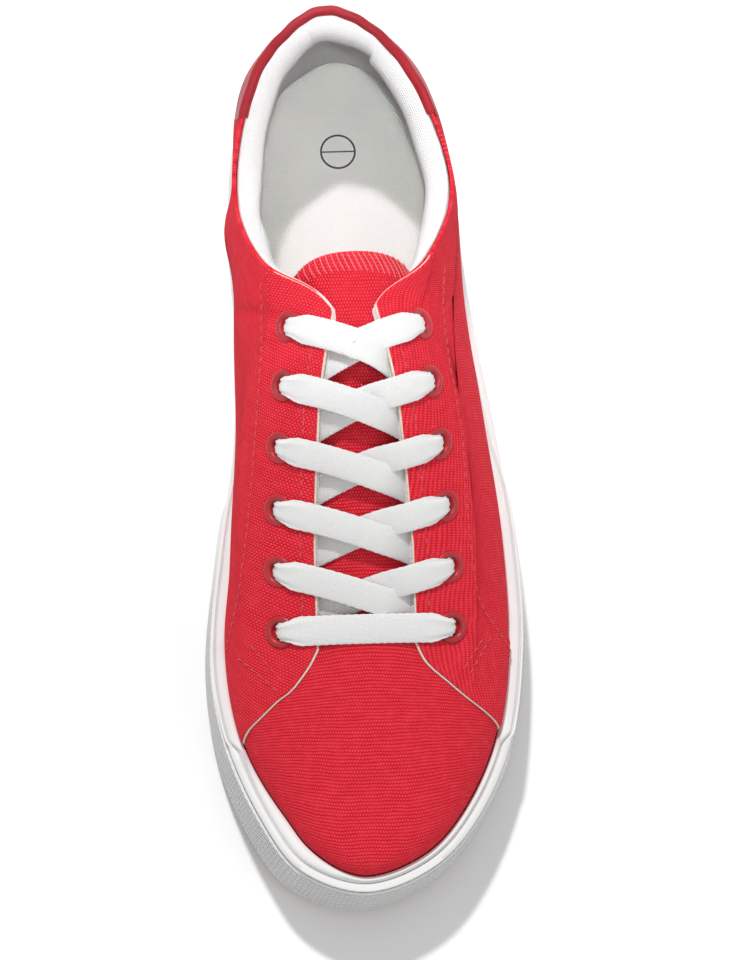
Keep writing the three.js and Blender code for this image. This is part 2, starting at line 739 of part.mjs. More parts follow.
// A run of lace over the instep, at a height above the upper's face that changes along it.
function laceRun(from, to, heights) {
  const steps = heights.length - 1;
  return heights.map((height, i) => {
    const t = i / steps;
    const x = from.x + (to.x - from.x) * t;
    const y = from.y + (to.y - from.y) * t;
    const { point, normal } = onUpper(x, y);
    const upright = normal.clone();
    upright.x *= 0.5;
    upright.normalize();
    return { point: point.addScaledVector(normal, height), normal: upright };
  });
}

const OVER_EYELET = EYELET_SEAT + EYELET_PROUD + 2 * GAP; // clear of the ring
const DIVE = -0.2; // where a run ends beside the far edge of the throat
const DIVE_SHARE = 0.58; // how much of the way down to the next eyelet it has come there
const DIVE_MARGIN = 2.6; // from its end to the far edge
const UNDER = [OVER_EYELET, OVER_EYELET, OVER_EYELET, 0.9, 0.3, 0.2, 0.2, DIVE];
const OVER = [OVER_EYELET, OVER_EYELET, 1.9, 1.7, 1.8, 1.2, 0.4, DIVE];

// From an eyelet's outside over the tongue to the far edge of the throat, where it dives under.
function crossingRun(word, k, heights) {
  const start = eyeletNamed(word, k).point;
  const other = word === "medial" ? "lateral" : "medial";
  const side = word === "medial" ? LATERAL : MEDIAL;
  const goal = eyeletNamed(other, k + 1).point;
  const y = start.y + (goal.y - start.y) * DIVE_SHARE;
  const x = middleX(y) + side * (tableAt(THROAT, "half", y) - DIVE_MARGIN);
  return laceRun(start, { x, y }, heights);
}

// The run from the inner side of the foot lies over the other one.
function makeCrossing(k) {
  const runs = [crossingRun("medial", k, OVER), crossingRun("lateral", k, UNDER)];
  return geometryOf(joined(runs.map(laceBand)));
}

function makeBar() {
  const [from, to] = ["medial", "lateral"].map((word) => eyeletNamed(word, EYELETS).point);
  const over = [OVER_EYELET, OVER_EYELET, 1.2, 0.8, 0.8, 0.8, 1.2, OVER_EYELET, OVER_EYELET];
  return laceBand(laceRun(from, to, over));
}

// ---------------------------------------------------------------- the shoe

const finish = (color, roughness) => new THREE.MeshStandardMaterial({ color, roughness, metalness: 0 });
const CANVAS = finish(0xd0202e, 0.9);
const LEATHERETTE = finish(0xb92f36, 0.45);
const WHITE_RUBBER = finish(0xf0f0ee, 0.55);
const GUM_RUBBER = finish(0x8a5334, 0.6);
const WHITE_LINING = finish(0xe9e8e6, 0.95);
const EYELET_ENAMEL = finish(0xb52a30, 0.35);
const WHITE_LACE = finish(0xf4f4f4, 0.9);

const shoe = new THREE.Group();

function add(name, geometry, material) {
  const mesh = new THREE.Mesh(geometry, material);
  mesh.name = name;
  shoe.add(mesh);
  return mesh;
}

add("outsole", makeOutsole(), GUM_RUBBER);
add("sidewall", makeSidewall(), WHITE_RUBBER);
add("toe_bumper", makeToeBumper(), WHITE_RUBBER);
add("insole", makeInsole(), WHITE_LINING);
add("upper", makeUpper(), CANVAS);
add("heel_tab", makeHeelTab(), LEATHERETTE);
add("collar_padding", makeCollarPadding(), WHITE_LINING);
add("tongue", makeTongue(), CANVAS);

const ring = makeEyelet();
for (const { name, point, normal } of eyelets) {
  const mesh = add(name, ring, EYELET_ENAMEL);
  mesh.position.copy(point);
  mesh.quaternion.setFromUnitVectors(new THREE.Vector3(0, 1, 0), normal);
}

add("lace_bar", makeBar(), WHITE_LACE);
for (let k = 1; k < EYELETS; k++) add(`lace_crossing_${k}`, makeCrossing(k), WHITE_LACE);

export default shoe;
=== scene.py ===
"""A red canvas low-top sneaker for the left foot, laid out as a Blender add-on and run as a script."""

import math

import bmesh
import bpy
import numpy as np
from mathutils import Matrix, Vector


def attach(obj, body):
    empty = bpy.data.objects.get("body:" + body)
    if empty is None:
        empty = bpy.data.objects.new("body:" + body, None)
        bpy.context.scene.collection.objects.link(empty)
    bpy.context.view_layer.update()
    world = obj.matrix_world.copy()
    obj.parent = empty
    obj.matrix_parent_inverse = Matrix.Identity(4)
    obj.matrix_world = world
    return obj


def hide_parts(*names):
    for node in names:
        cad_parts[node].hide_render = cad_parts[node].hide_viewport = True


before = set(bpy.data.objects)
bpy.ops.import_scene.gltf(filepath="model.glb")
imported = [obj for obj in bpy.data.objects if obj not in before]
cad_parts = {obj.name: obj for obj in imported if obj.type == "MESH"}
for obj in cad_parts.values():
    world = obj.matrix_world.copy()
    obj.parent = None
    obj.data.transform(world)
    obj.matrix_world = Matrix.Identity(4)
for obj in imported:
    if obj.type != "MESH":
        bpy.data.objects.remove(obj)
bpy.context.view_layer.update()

bl_info = {
    "name": "Canvas sneaker",
    "version": (1, 0, 0),
    "blender": (4, 5, 0),
    "location": "3D View > Sidebar > Sneaker",
    "description": "Builds a low-top canvas sneaker with its laces, seams and tread",
    "category": "Mesh",
}

MM = 0.001
LATERAL = 1  # the side of the little toe, +X
MEDIAL = -1  # the side of the big toe, -X

# ---------------------------------------------------------------- the last, in millimetres

HALF_LENGTH = 139.0
AXIS_X = -3.4  # the line from heel centre to toe tip
TOE_SPRING = 7.0
SPRING_START = -48.0
ARCH_LIFT = 0.8
ARCH_MIDDLE = 22.0
ARCH_REACH = 44.0
TOE_LEAN = 2.6  # how far the toe leans outwards between the ground and the top of the wall
LEAN_START = -62.0
LEAN_FULL = -125.0

WALL_TOP = 27.6
CANVAS_INSET = 6.0  # from the outline at the ground in to the canvas
TOE_BAND = 2.2  # how much more beside the big toe
SPLAY = 6.0  # how strongly the upper's sections turn outwards round the heel and the toe
BUMPER_STATION = 5.55  # where the toe strip starts on both sides
HEEL_FLOOR = 17.4
BALL_FLOOR = 13.6
OUTSOLE_INSET = 2.7
OUTSOLE_TOP = 4.6
TREAD_DEPTH = 1.8

# Sections of the sole at the ground, heel to toe: y, then the half widths from the axis.
SOLE = {
    "y": (139, 130, 110, 79, 44, 9, -26, -60, -89, -114, -130.5, -137.8),
    "medial": (0, 20, 32.5, 35.3, 34.2, 35.8, 41.6, 45.6, 42.9, 34.2, 22.6, 2.4),
    "lateral": (0, 20.5, 33.5, 37, 41, 46.6, 51.2, 52.2, 47, 34.4, 18.8, -2.4),
}

# The upper over the same sections: the collar's edge, and from the throat on the ridge of the instep.
UPPER = {
    "topY": (128, 121.5, 106, 77, 49, 18, -20, -56, -78, -90, -97, -99.5),
    "topZ": (86, 84.5, 77, 67.5, 82.5, 93.6, 76, 58.6, 52, 49, 47.2, 46.6),
    "medialTop": (4.4, 17.6, 28.8, 34.4, 27, -0.6, -1.2, -2, -2, -2, -1.5, -1.2),
    "lateralTop": (-4.4, 9.8, 23.4, 33, 23.4, 0.6, 1.2, 2, 2, 2, 1.5, 1.2),
    "lean": (12, 12, 10, 8, 30, 86, 89, 90, 90, 90, 87, 85),
    "slope": (0, 0, 0, 0, 0, 0.42, 0.47, 0.38, 0.29, 0.26, 0.25, 0.25),
    "crown": (18, 18, 15, 12, 18, 30, 30, 28, 24, 22, 22, 22),
    "rise": (20, 20, 18, 16, 18, 20, 18, 15, 12, 9, 8.5, 8.5),
    "medialBulge": (5, 6, 10, 12, 14, 15, 8, 2, 0, 0, 0, 0),
    "lateralBulge": (5, 5, 5, 6, 5, 4, 3, 1, 0, 0, 0, 0),
}
TOE = len(SOLE["y"]) - 1

# The throat: its middle line, and half the gap between its edges.
THROAT = {
    "y": (-61, -36, -16, 5, 24, 34),
    "x": (-1.4, -1.8, -2.2, -2.6, -2.9, -3),
    "half": (15.4, 15.2, 14, 12.2, 8.8, 9.2),
}
COLLAR_FRONT = 46.0
TONGUE = {
    "y": (-68, -56, -38, -20, 0, 18, 28, 35, 40, 44, 46.6),
    "z": (52.4, 55.8, 63.6, 72.2, 80.8, 88, 91, 94, 97.4, 100.2, 101),
    "half": (19, 21, 22, 22, 22, 21, 20, 19.5, 18.5, 19.5, 17.5),
    "drop": (5, 5.5, 7, 9, 11.5, 14.5, 17, 19.6, 19.6, 20.5, 15),
}
BISECTIONS = 26  # halvings of a search on the skin
EYELETS = 6
EYELET_ASIDE = 10.3
FIRST_EYELET = 28.4
LAST_EYELET = -59.0


def table_at(rows, name, y):
    """A straight-line value from a table whose rows run up in y."""
    return np.interp(y, rows["y"], rows[name])


def ring_of(lateral, medial):
    """A column of sections as one closed round: out along the lateral side, back along the medial one."""
    return np.array(list(lateral) + list(medial[-2:0:-1]), float)


def smooth(ring, u):
    """A smooth value round the shoe at a signed station: positive on the lateral side."""
    k = np.floor(u).astype(int)
    t = u - k
    a, b, c, d = (ring[(k + n) % len(ring)] for n in (-1, 0, 1, 2))
    return b + 0.5 * t * (c - a + t * (2 * a - 5 * b + 4 * c - d + t * (3 * (b - c) + d - a)))


SOLE_X = ring_of(SOLE["lateral"], [-w for w in SOLE["medial"]])
SOLE_Y = ring_of(SOLE["y"], SOLE["y"])
TOP_X = ring_of(UPPER["lateralTop"], [-w for w in UPPER["medialTop"]])
BULGE = ring_of(UPPER["lateralBulge"], UPPER["medialBulge"])
BOTH = {name: ring_of(UPPER[name], UPPER[name])
        for name in ("topY", "topZ", "lean", "slope", "crown", "rise")}


def unit(vectors):
    return vectors / np.maximum(np.linalg.norm(vectors, axis=-1, keepdims=True), 1e-9)


def spring(y):
    t = np.maximum(0, (SPRING_START - y) / (SPRING_START + HALF_LENGTH))
    return TOE_SPRING * t * t


def lift(y):
    t = np.minimum(1, np.abs((y - ARCH_MIDDLE) / ARCH_REACH))
    return spring(y) + ARCH_LIFT * (1 - t * t) ** 2


def smoothstep(x, low, high):
    t = np.clip((x - low) / (high - low), 0, 1)
    return t * t * (3 - 2 * t)


def canvas_inset(u):
    """How far the canvas is inside the sole's outline at a signed station."""
    beside = smoothstep(-np.asarray(u, float), 8, 9.4) * (1 - smoothstep(-np.asarray(u, float), 9.8, TOE))
    return CANVAS_INSET + TOE_BAND * beside


def leaned(points):
    """Points carried sideways with the toe's lean, fully from the top of the white wall upwards."""
    points = np.array(points, float)
    share = smoothstep(-points[:, 1], -LEAN_START, -LEAN_FULL) * np.clip(points[:, 2] / WALL_TOP, 0, 1)
    points[:, 0] += TOE_LEAN * share
    return points


def footbed(y):
    return BALL_FLOOR + (HEEL_FLOOR - BALL_FLOOR) * smoothstep(y, -45, 62) + spring(y)


def outward(u):
    """The direction out of the sole's outline on the ground."""
    step = 0.02
    dx = smooth(SOLE_X, u + step) - smooth(SOLE_X, u - step)
    dy = smooth(SOLE_Y, u + step) - smooth(SOLE_Y, u - step)
    return unit(np.stack([-dy, dx], -1))


def outline(u, inset):
    """The sole's outline at the ground, moved in by some distance."""
    out = outward(u)
    inset = np.asarray(inset, float)
    x = AXIS_X + smooth(SOLE_X, u) - out[..., 0] * inset
    y = smooth(SOLE_Y, u) - out[..., 1] * inset
    return x, y


def skin_point(u, v):
    """The upper's outer face: v is 0 where it leaves the rubber and 1 at the collar or the ridge."""
    u, v = np.broadcast_arrays(np.asarray(u, float), np.asarray(v, float))
    x, y = outline(u, canvas_inset(u))
    z = WALL_TOP + spring(y)
    foot = np.stack([x, y, z], -1)
    top = np.stack([AXIS_X + smooth(TOP_X, u), smooth(BOTH["topY"], u), smooth(BOTH["topZ"], u)], -1)
    out = np.zeros_like(foot)
    out[..., :2] = foot[..., :2] - top[..., :2] + outward(u) * SPLAY
    out = unit(out)
    lean = np.radians(smooth(BOTH["lean"], u))
    crown = smooth(BOTH["crown"], u)
    side = foot + out * smooth(BULGE, u)[..., None]
    side[..., 2] += smooth(BOTH["rise"], u)
    crest = top + out * (np.sin(lean) * crown)[..., None]
    crest[..., 2] += (out[..., 1] * smooth(BOTH["slope"], u) - np.cos(lean)) * crown
    t = np.maximum(v, 0)[..., None]
    s = 1 - t
    point = s**3 * foot + 3 * s * s * t * side + 3 * s * t * t * crest + t**3 * top
    below = np.minimum(v, 0) * (z - footbed(y) - 0.3)
    point[..., 2] += below
    return point


def skin_normal(u, v):
    du, dv = 0.03, 0.015
    u, v = np.broadcast_arrays(np.asarray(u, float), np.asarray(v, float))
    w = np.clip(v, dv, 1 - dv)
    along = skin_point(u + du, w) - skin_point(u - du, w)
    up = skin_point(u, w + dv) - skin_point(u, w - dv)
    normal = unit(np.cross(up, along))
    flat = np.concatenate([outward(u), np.zeros(u.shape + (1,))], -1)
    blend = smoothstep(v, 0, 0.04)[..., None]
    return unit(normal * blend + flat * (1 - blend))


def skin(u, v, distance):
    """The upper's face moved out by some distance, or in where it is negative."""
    return skin_point(u, v) + skin_normal(u, v) * np.asarray(distance, float)[..., None]


def bisect(low, high, is_low):
    """Where a test that holds at one end stops holding, for whole arrays at once."""
    low, high = np.array(low, float), np.array(high, float)
    for _ in range(BISECTIONS):
        middle = (low + high) / 2
        inside = is_low(middle)
        low = np.where(inside, middle, low)
        high = np.where(inside, high, middle)
    return (low + high) / 2


def throat_edge(u, margin=0.0):
    """How far up its section the canvas goes: to the collar or ridge, or to the edge of the throat."""
    u = np.asarray(u, float)
    side = np.sign(u + 1e-9)

    def past(v):
        p = skin_point(u, v)
        x = p[..., 0] - table_at(THROAT, "x", p[..., 1])
        return side * x > table_at(THROAT, "half", p[..., 1]) - margin

    edge = bisect(np.full(u.shape, 0.3), np.ones(u.shape), past)
    whole = (smooth(BOTH["topY"], u) > COLLAR_FRONT) | past(np.ones(u.shape))
    corner = 0.06 * np.exp(-(((np.abs(u) - 4.4) / 0.28) ** 2))
    return np.where(whole, 1.0, edge) + corner


def find_on_skin(side, x, y):
    """The signed station and height of the place of the upper's face over a place on the plan."""
    x, y = np.broadcast_arrays(np.asarray(x, float), np.asarray(y, float))
    v = np.full(x.shape, 0.7)
    ones = np.ones(x.shape)
    for _ in range(6):
        station = bisect(ones, ones * TOE, lambda s: skin_point(side * s, v)[..., 1] > y)
        v = bisect(ones * 0, ones, lambda t: side * (skin_point(side * station, t)[..., 0] - x) > 0)
    return side * station, v


def over_instep(x, y):
    """The point and normal of the smooth form over the instep at a place on the plan."""
    x, y = np.broadcast_arrays(np.asarray(x, float), np.asarray(y, float))
    side = np.where(x > table_at(THROAT, "x", y), LATERAL, MEDIAL)
    point = np.empty(x.shape + (3,))
    normal = np.empty(x.shape + (3,))
    for which in (LATERAL, MEDIAL):
        here = side == which
        if here.any():
            u, v = find_on_skin(which, x[here], y[here])
            point[here] = skin_point(u, v)
            normal[here] = skin_normal(u, v)
    return point, normal


# ---------------------------------------------------------------- meshes


def make_piece(name, points, faces, material, uv=None, sharp=50, layers=None):
    """A smooth mesh object from points in millimetres, riding on the shoe's one body."""
    mesh = bpy.data.meshes.new(name)
    mesh.from_pydata((leaned(points) * MM).tolist(), [], faces)
    if uv is not None:
        layer = mesh.uv_layers.new(name="UVMap")
        corner = np.empty(len(mesh.loops), int)
        mesh.loops.foreach_get("vertex_index", corner)
        layer.data.foreach_set("uv", (np.asarray(uv, float)[corner] * MM).ravel())
    for key, values in (layers or {}).items():
        attribute = mesh.attributes.new(key, "FLOAT", "POINT")
        attribute.data.foreach_set("value", np.asarray(values, float))
    mesh.validate()
    cleaner = bmesh.new()
    cleaner.from_mesh(mesh)
    bmesh.ops.remove_doubles(cleaner, verts=cleaner.verts, dist=0.02 * MM)
    bmesh.ops.dissolve_degenerate(cleaner, edges=cleaner.edges, dist=0.005 * MM)
    bmesh.ops.recalc_face_normals(cleaner, faces=cleaner.faces)
    cleaner.to_mesh(mesh)
    cleaner.free()
    mesh.shade_smooth()
    mesh.set_sharp_from_angle(angle=math.radians(sharp))
    piece = bpy.data.objects.new(name, mesh)
    bpy.context.scene.collection.objects.link(piece)
    mesh.materials.append(material)
    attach(piece, "root")
    return piece


def grid_faces(columns, rows, start=0, closed=False, flip=False):
    faces = []
    for i in range(columns if closed else columns - 1):
        n = (i + 1) % columns
        for j in range(rows - 1):
            a, b = start + i * rows + j, start + n * rows + j
            quad = [a, b, b + 1, a + 1]
            faces.append(quad[::-1] if flip else quad)
    return faces


def rim_order(columns, rows):
    """The grid places round the border of a sheet, and the place just inside each."""
    places = [(i, 0) for i in range(columns - 1)]
    places += [(columns - 1, j) for j in range(rows - 1)]
    places += [(i, rows - 1) for i in range(columns - 1, 0, -1)]
    places += [(0, j) for j in range(rows - 1, 0, -1)]
    inside = [(min(max(i, 1), columns - 2), min(max(j, 1), rows - 2)) for i, j in places]
    return places, inside


def sheet_parts(outer, inner, uv):
    """A closed sheet between two grids of points, with a rounded edge all round."""
    columns, rows = outer.shape[:2]
    points = [outer.reshape(-1, 3), inner.reshape(-1, 3)]
    uvs = [uv.reshape(-1, 2), uv.reshape(-1, 2)]
    faces = grid_faces(columns, rows) + grid_faces(columns, rows, columns * rows, flip=True)
    places, inside = rim_order(columns, rows)
    index = np.array([i * rows + j for i, j in places])
    i, j = np.array(places).T
    k, l = np.array(inside).T
    middle = (outer + inner) / 2
    out = unit(middle[i, j] - middle[k, l])
    half = np.linalg.norm(outer[i, j] - inner[i, j], axis=-1, keepdims=True) / 2
    loops = [index]
    start = 2 * columns * rows
    for angle in (45, 90, 135):
        a = math.radians(angle)
        reach = middle[i, j] + out * half * math.sin(a)
        points.append(reach + (outer[i, j] - inner[i, j]) / 2 * math.cos(a))
        uvs.append(uv[i, j])
        loops.append(start + np.arange(len(index)))
        start += len(index)
    loops.append(index + columns * rows)
    for a, b in zip(loops, loops[1:]):
        for m in range(len(index)):
            n = (m + 1) % len(index)
            faces.append([int(a[m]), int(b[m]), int(b[n]), int(a[n])])
    return np.concatenate(points), faces, np.concatenate(uvs)


def swept(ring, closed=True):
    """Faces of a closed profile swept along columns, with its ends closed where the sweep is open."""
    columns, rows = ring.shape[:2]
    faces = []
    for i in range(columns if closed else columns - 1):
        n = (i + 1) % columns
        for j in range(rows):
            k = (j + 1) % rows
            faces.append([i * rows + j, n * rows + j, n * rows + k, i * rows + k])
    if not closed:
        faces.append(list(range(rows)))
        faces.append([(columns - 1) * rows + j for j in range(rows)][::-1])
    return faces


def arc_length(points, axis):
    """Distance along a grid of points."""
    steps = np.linalg.norm(np.diff(points, axis=axis), axis=-1)
    zero = np.zeros_like(np.take(steps, [0], axis=axis))
    return np.concatenate([zero, np.cumsum(steps, axis=axis)], axis=axis)


ROUND_U = np.linspace(-TOE, TOE, 441)
ROUND_LENGTH = arc_length(skin_point(ROUND_U, 0.0), 0)


def along_shoe(u):
    """Distance round the shoe from the heel, at a signed station."""
    return np.interp(u, ROUND_U, ROUND_LENGTH - np.interp(0, ROUND_U, ROUND_LENGTH))


def side_cloth(u, points):
    """Cloth coordinates on the side of the upper: along the shoe and up the wall."""
    return np.stack([along_shoe(u), arc_length(points, 1)], -1)


def top_cloth(points):
    """Cloth coordinates on the vamp, unrolled outwards from the top of the toes."""
    centre = np.array([AXIS_X + 1.8, -84.0])
    flat = points[..., :2] - centre
    reach = np.linalg.norm(flat, axis=-1)
    level = 50.4 + 0.27 * (points[..., 1] - centre[1])
    drop = np.maximum(0, level - points[..., 2])
    return flat * (1 + drop / np.maximum(reach, 8))[..., None]


# ---------------------------------------------------------------- shader building


def add_node(tree, kind, inputs=None, **settings):
    made = tree.nodes.new(kind)
    for key, value in settings.items():
        setattr(made, key, value)
    for key, value in (inputs or {}).items():
        if isinstance(value, bpy.types.NodeSocket):
            tree.links.new(value, made.inputs[key])
        else:
            made.inputs[key].default_value = value
    return made


def maths(tree, operation, a, b=0.0, c=0.0):
    values = {0: a, 1: b}
    if operation in ("MULTIPLY_ADD", "SMOOTH_MAX"):
        values[2] = c
    return add_node(tree, "ShaderNodeMath", values, operation=operation).outputs[0]


def mix_colour(tree, factor, a, b):
    made = add_node(tree, "ShaderNodeMix", data_type="RGBA")
    for place, value in ((0, factor), (6, a), (7, b)):
        if isinstance(value, bpy.types.NodeSocket):
            tree.links.new(value, made.inputs[place])
        else:
            made.inputs[place].default_value = value
    return made.outputs[2]


def remap(tree, value, low, high, to_low=0.0, to_high=1.0):
    inputs = {"Value": value, "From Min": low, "From Max": high, "To Min": to_low, "To Max": to_high}
    return add_node(tree, "ShaderNodeMapRange", inputs, interpolation_type="SMOOTHSTEP").outputs[0]


def noise(tree, vector, scale, detail=2.0, roughness=0.5):
    inputs = {"Vector": vector, "Scale": scale, "Detail": detail, "Roughness": roughness}
    return add_node(tree, "ShaderNodeTexNoise", inputs).outputs["Fac"]


def new_group(name, inputs, outputs):
    """A node group with these inputs and outputs, and the sockets of its two end nodes."""
    tree = bpy.data.node_groups.new(name, "ShaderNodeTree")
    for label in inputs:
        kind = "NodeSocketVector" if label == "Vector" else "NodeSocketFloat"
        tree.interface.new_socket(label, in_out="INPUT", socket_type=kind)
    for label in outputs:
        tree.interface.new_socket(label, in_out="OUTPUT", socket_type="NodeSocketFloat")
    return tree, tree.nodes.new("NodeGroupInput").outputs, tree.nodes.new("NodeGroupOutput").inputs


def woven_cloth_group():
    """Plain weave: rows of beads where a thread comes over, half a step apart from row to row; its Thread
    output is the mask that the materials use to paint shade into the weave's hollows.
    """
    tree, given, out = new_group("woven_cloth", ["Vector", "Ends", "Picks", "Slub"],
                                 ["Height", "Thread", "Tone"])
    apart = add_node(tree, "ShaderNodeSeparateXYZ", {0: given["Vector"]})
    wander = noise(tree, given["Vector"], 150.0, 2.0)
    x = maths(tree, "MULTIPLY", apart.outputs[0], given["Ends"])
    y = maths(tree, "MULTIPLY", apart.outputs[1], given["Picks"])
    x = maths(tree, "MULTIPLY_ADD", wander, 1.6, x)
    y = maths(tree, "MULTIPLY_ADD", wander, -0.9, y)
    wave_x = maths(tree, "SINE", maths(tree, "MULTIPLY", x, math.pi))
    wave_y = maths(tree, "SINE", maths(tree, "MULTIPLY", y, math.pi))
    bead = maths(tree, "MAXIMUM", maths(tree, "MULTIPLY", wave_x, wave_y), 0.0)
    bead = maths(tree, "POWER", bead, 0.55)
    under = maths(tree, "MULTIPLY", maths(tree, "POWER", maths(tree, "ABSOLUTE", wave_y), 0.7), 0.42)
    height = maths(tree, "SMOOTH_MAX", bead, under, 0.1)
    stretched = add_node(tree, "ShaderNodeVectorMath", {0: given["Vector"], 1: (90.0, 950.0, 1.0)},
                         operation="MULTIPLY").outputs[0]
    slub = noise(tree, stretched, 1.0, 1.0)
    slub = maths(tree, "MULTIPLY", maths(tree, "SUBTRACT", slub, 0.5), given["Slub"])
    fuzz = noise(tree, given["Vector"], 4200.0, 2.0)
    height = maths(tree, "ADD", height, maths(tree, "MULTIPLY_ADD", fuzz, 0.22, slub))
    tree.links.new(height, out["Height"])
    # Thread is high on the beads and low in the hollows: a mask for painted shade.
    tree.links.new(remap(tree, height, 0.3, 1.15), out["Thread"])
    tree.links.new(noise(tree, given["Vector"], 240.0, 4.0, 0.65), out["Tone"])


def fine_grain_group():
    """A fine pebbled grain with slow mottling, for coated cloth and moulded rubber."""
    tree, given, out = new_group("fine_grain", ["Vector", "Scale", "Pebble"], ["Height", "Mottle"])
    cells = add_node(tree, "ShaderNodeTexVoronoi", {"Vector": given["Vector"], "Scale": given["Scale"]})
    cells.feature = "SMOOTH_F1"
    sunk = maths(tree, "MULTIPLY", given["Pebble"], -1.0)
    pebble = maths(tree, "MULTIPLY", cells.outputs["Distance"], sunk)
    dust = noise(tree, given["Vector"], maths(tree, "MULTIPLY", given["Scale"], 1.7), 3.0)
    tree.links.new(maths(tree, "MULTIPLY_ADD", dust, 0.4, pebble), out["Height"])
    tree.links.new(noise(tree, given["Vector"], 46.0, 5.0, 0.6), out["Mottle"])


def diamond_knurl_group():
    """Small raised diamonds, fading in with a mask; the second output is a mask for painted shade in the
    grooves between them.
    """
    tree, given, out = new_group("diamond_knurl", ["Vector", "Pitch", "Mask"], ["Height", "PaintedGrooveShade"])
    apart = add_node(tree, "ShaderNodeSeparateXYZ", {0: given["Vector"]})
    x = maths(tree, "DIVIDE", maths(tree, "MULTIPLY", apart.outputs[0], math.pi), given["Pitch"])
    y = maths(tree, "DIVIDE", maths(tree, "MULTIPLY", apart.outputs[1], math.pi), given["Pitch"])
    one = maths(tree, "ABSOLUTE", maths(tree, "SINE", maths(tree, "ADD", x, y)))
    other = maths(tree, "ABSOLUTE", maths(tree, "SINE", maths(tree, "SUBTRACT", x, y)))
    peak = maths(tree, "POWER", maths(tree, "MULTIPLY", one, other), 0.5)
    tree.links.new(maths(tree, "MULTIPLY", peak, given["Mask"]), out["Height"])
    # Painted shade: high in the grooves between the diamonds, for darkening the colour there.
    groove = maths(tree, "MULTIPLY", maths(tree, "SUBTRACT", 1.0, peak), given["Mask"])
    tree.links.new(groove, out["PaintedGrooveShade"])


def group_node(tree, name, **inputs):
    made = add_node(tree, "ShaderNodeGroup", node_tree=bpy.data.node_groups[name])
    for key, value in inputs.items():
        socket = made.inputs[key.replace("_", " ")]
        if isinstance(value, bpy.types.NodeSocket):
            tree.links.new(value, socket)
        else:
            socket.default_value = value
    return made.outputs


def new_material(name, **constants):
    """A material whose shader has these plain values; the rest is linked afterwards."""
    material = bpy.data.materials.new(name)
    material.use_nodes = True
    shader = material.node_tree.nodes["Principled BSDF"]
    for key, value in constants.items():
        shader.inputs[key.replace("_", " ")].default_value = value
    return material, material.node_tree, shader.inputs


def uv_of(tree):
    return add_node(tree, "ShaderNodeUVMap", uv_map="UVMap").outputs[0]


def place_of(tree):
    return add_node(tree, "ShaderNodeTexCoord").outputs["Object"]


def mottled(tree, mottle, low, high, dark, light):
    """A colour that wanders slowly between two shades."""
    return mix_colour(tree, remap(tree, mottle, low, high), dark, light)


def bump_into(tree, shader, height, distance, strength=1.0, normal=None):
    inputs = {"Height": height, "Distance": distance, "Strength": strength}
    if normal:
        inputs["Normal"] = normal
    made = add_node(tree, "ShaderNodeBump", inputs).outputs[0]
    tree.links.new(made, shader["Normal"])
    return made


def shade(colour, factor):
    return (*(c * factor for c in colour[:3]), 1.0)


def canvas_material(name, colour, turn):
    """Matt canvas whose rows run at an angle to its piece, with painted highlight on its thread tops and
    painted shade in the weave's hollows.
    """
    material, tree, shader = new_material(name, Roughness=0.9, Specular_IOR_Level=0.1)
    turned_by = {"Vector": uv_of(tree), "Rotation": (0, 0, turn)}
    where = add_node(tree, "ShaderNodeMapping", turned_by).outputs[0]
    cloth = group_node(tree, "woven_cloth", Vector=where, Ends=2200.0, Picks=950.0, Slub=0.35)
    # Painted light: the thread tops get a lighter, pinker copy of the colour (painted highlight), and the
    # weave's hollows get a darker copy (painted shade).
    highlight_and_fade = (min(1, colour[0] * 1.18), colour[1] * 3.9, colour[2] * 3.2, 1.0)
    thread = mix_colour(tree, cloth["Thread"], shade(colour, 0.7), highlight_and_fade)
    # Random tone fades the canvas part of the way towards the same lighter colour.
    fade = remap(tree, cloth["Tone"], 0.4, 0.8, 0.0, 0.25)
    tree.links.new(mix_colour(tree, fade, thread, highlight_and_fade), shader["Base Color"])
    bump_into(tree, shader, cloth["Height"], 0.00045, 0.8)
    return material


def lining_material(colour):
    material, tree, shader = new_material("lining_cloth", Roughness=0.95, Specular_IOR_Level=0.15)
    cloth = group_node(tree, "woven_cloth", Vector=uv_of(tree), Ends=2400.0, Picks=1500.0, Slub=0.2)
    # Painted shade: the weave's hollows get a slightly darker copy of the colour.
    tree.links.new(mix_colour(tree, cloth["Thread"], shade(colour, 0.9), colour), shader["Base Color"])
    bump_into(tree, shader, cloth["Height"], 0.0003, 0.8)
    return material


def rubber_material(colour):
    """White rubber, with a knurl wherever the mesh's knurl value says so, and painted shade in the knurl's
    grooves.
    """
    material, tree, shader = new_material("moulded_rubber", Roughness=0.5, Specular_IOR_Level=0.4)
    grain = group_node(tree, "fine_grain", Vector=place_of(tree), Scale=2600.0, Pebble=0.25)
    mask = add_node(tree, "ShaderNodeAttribute", attribute_name="knurl").outputs["Fac"]
    knurl = group_node(tree, "diamond_knurl", Vector=uv_of(tree), Pitch=0.0024, Mask=mask)
    clean = mottled(tree, grain["Mottle"], 0.35, 0.75, shade(colour, 0.97), colour)
    # Painted shade: the knurl's grooves are darkened towards half the rubber's colour.
    tree.links.new(mix_colour(tree, knurl["PaintedGrooveShade"], clean, shade(colour, 0.5)), shader["Base Color"])
    tree.links.new(remap(tree, grain["Mottle"], 0.3, 0.7, 0.42, 0.58), shader["Roughness"])
    fine = bump_into(tree, shader, grain["Height"], 0.00005, 0.5)
    bump_into(tree, shader, knurl["Height"], 0.0006, 1.0, fine)
    return material


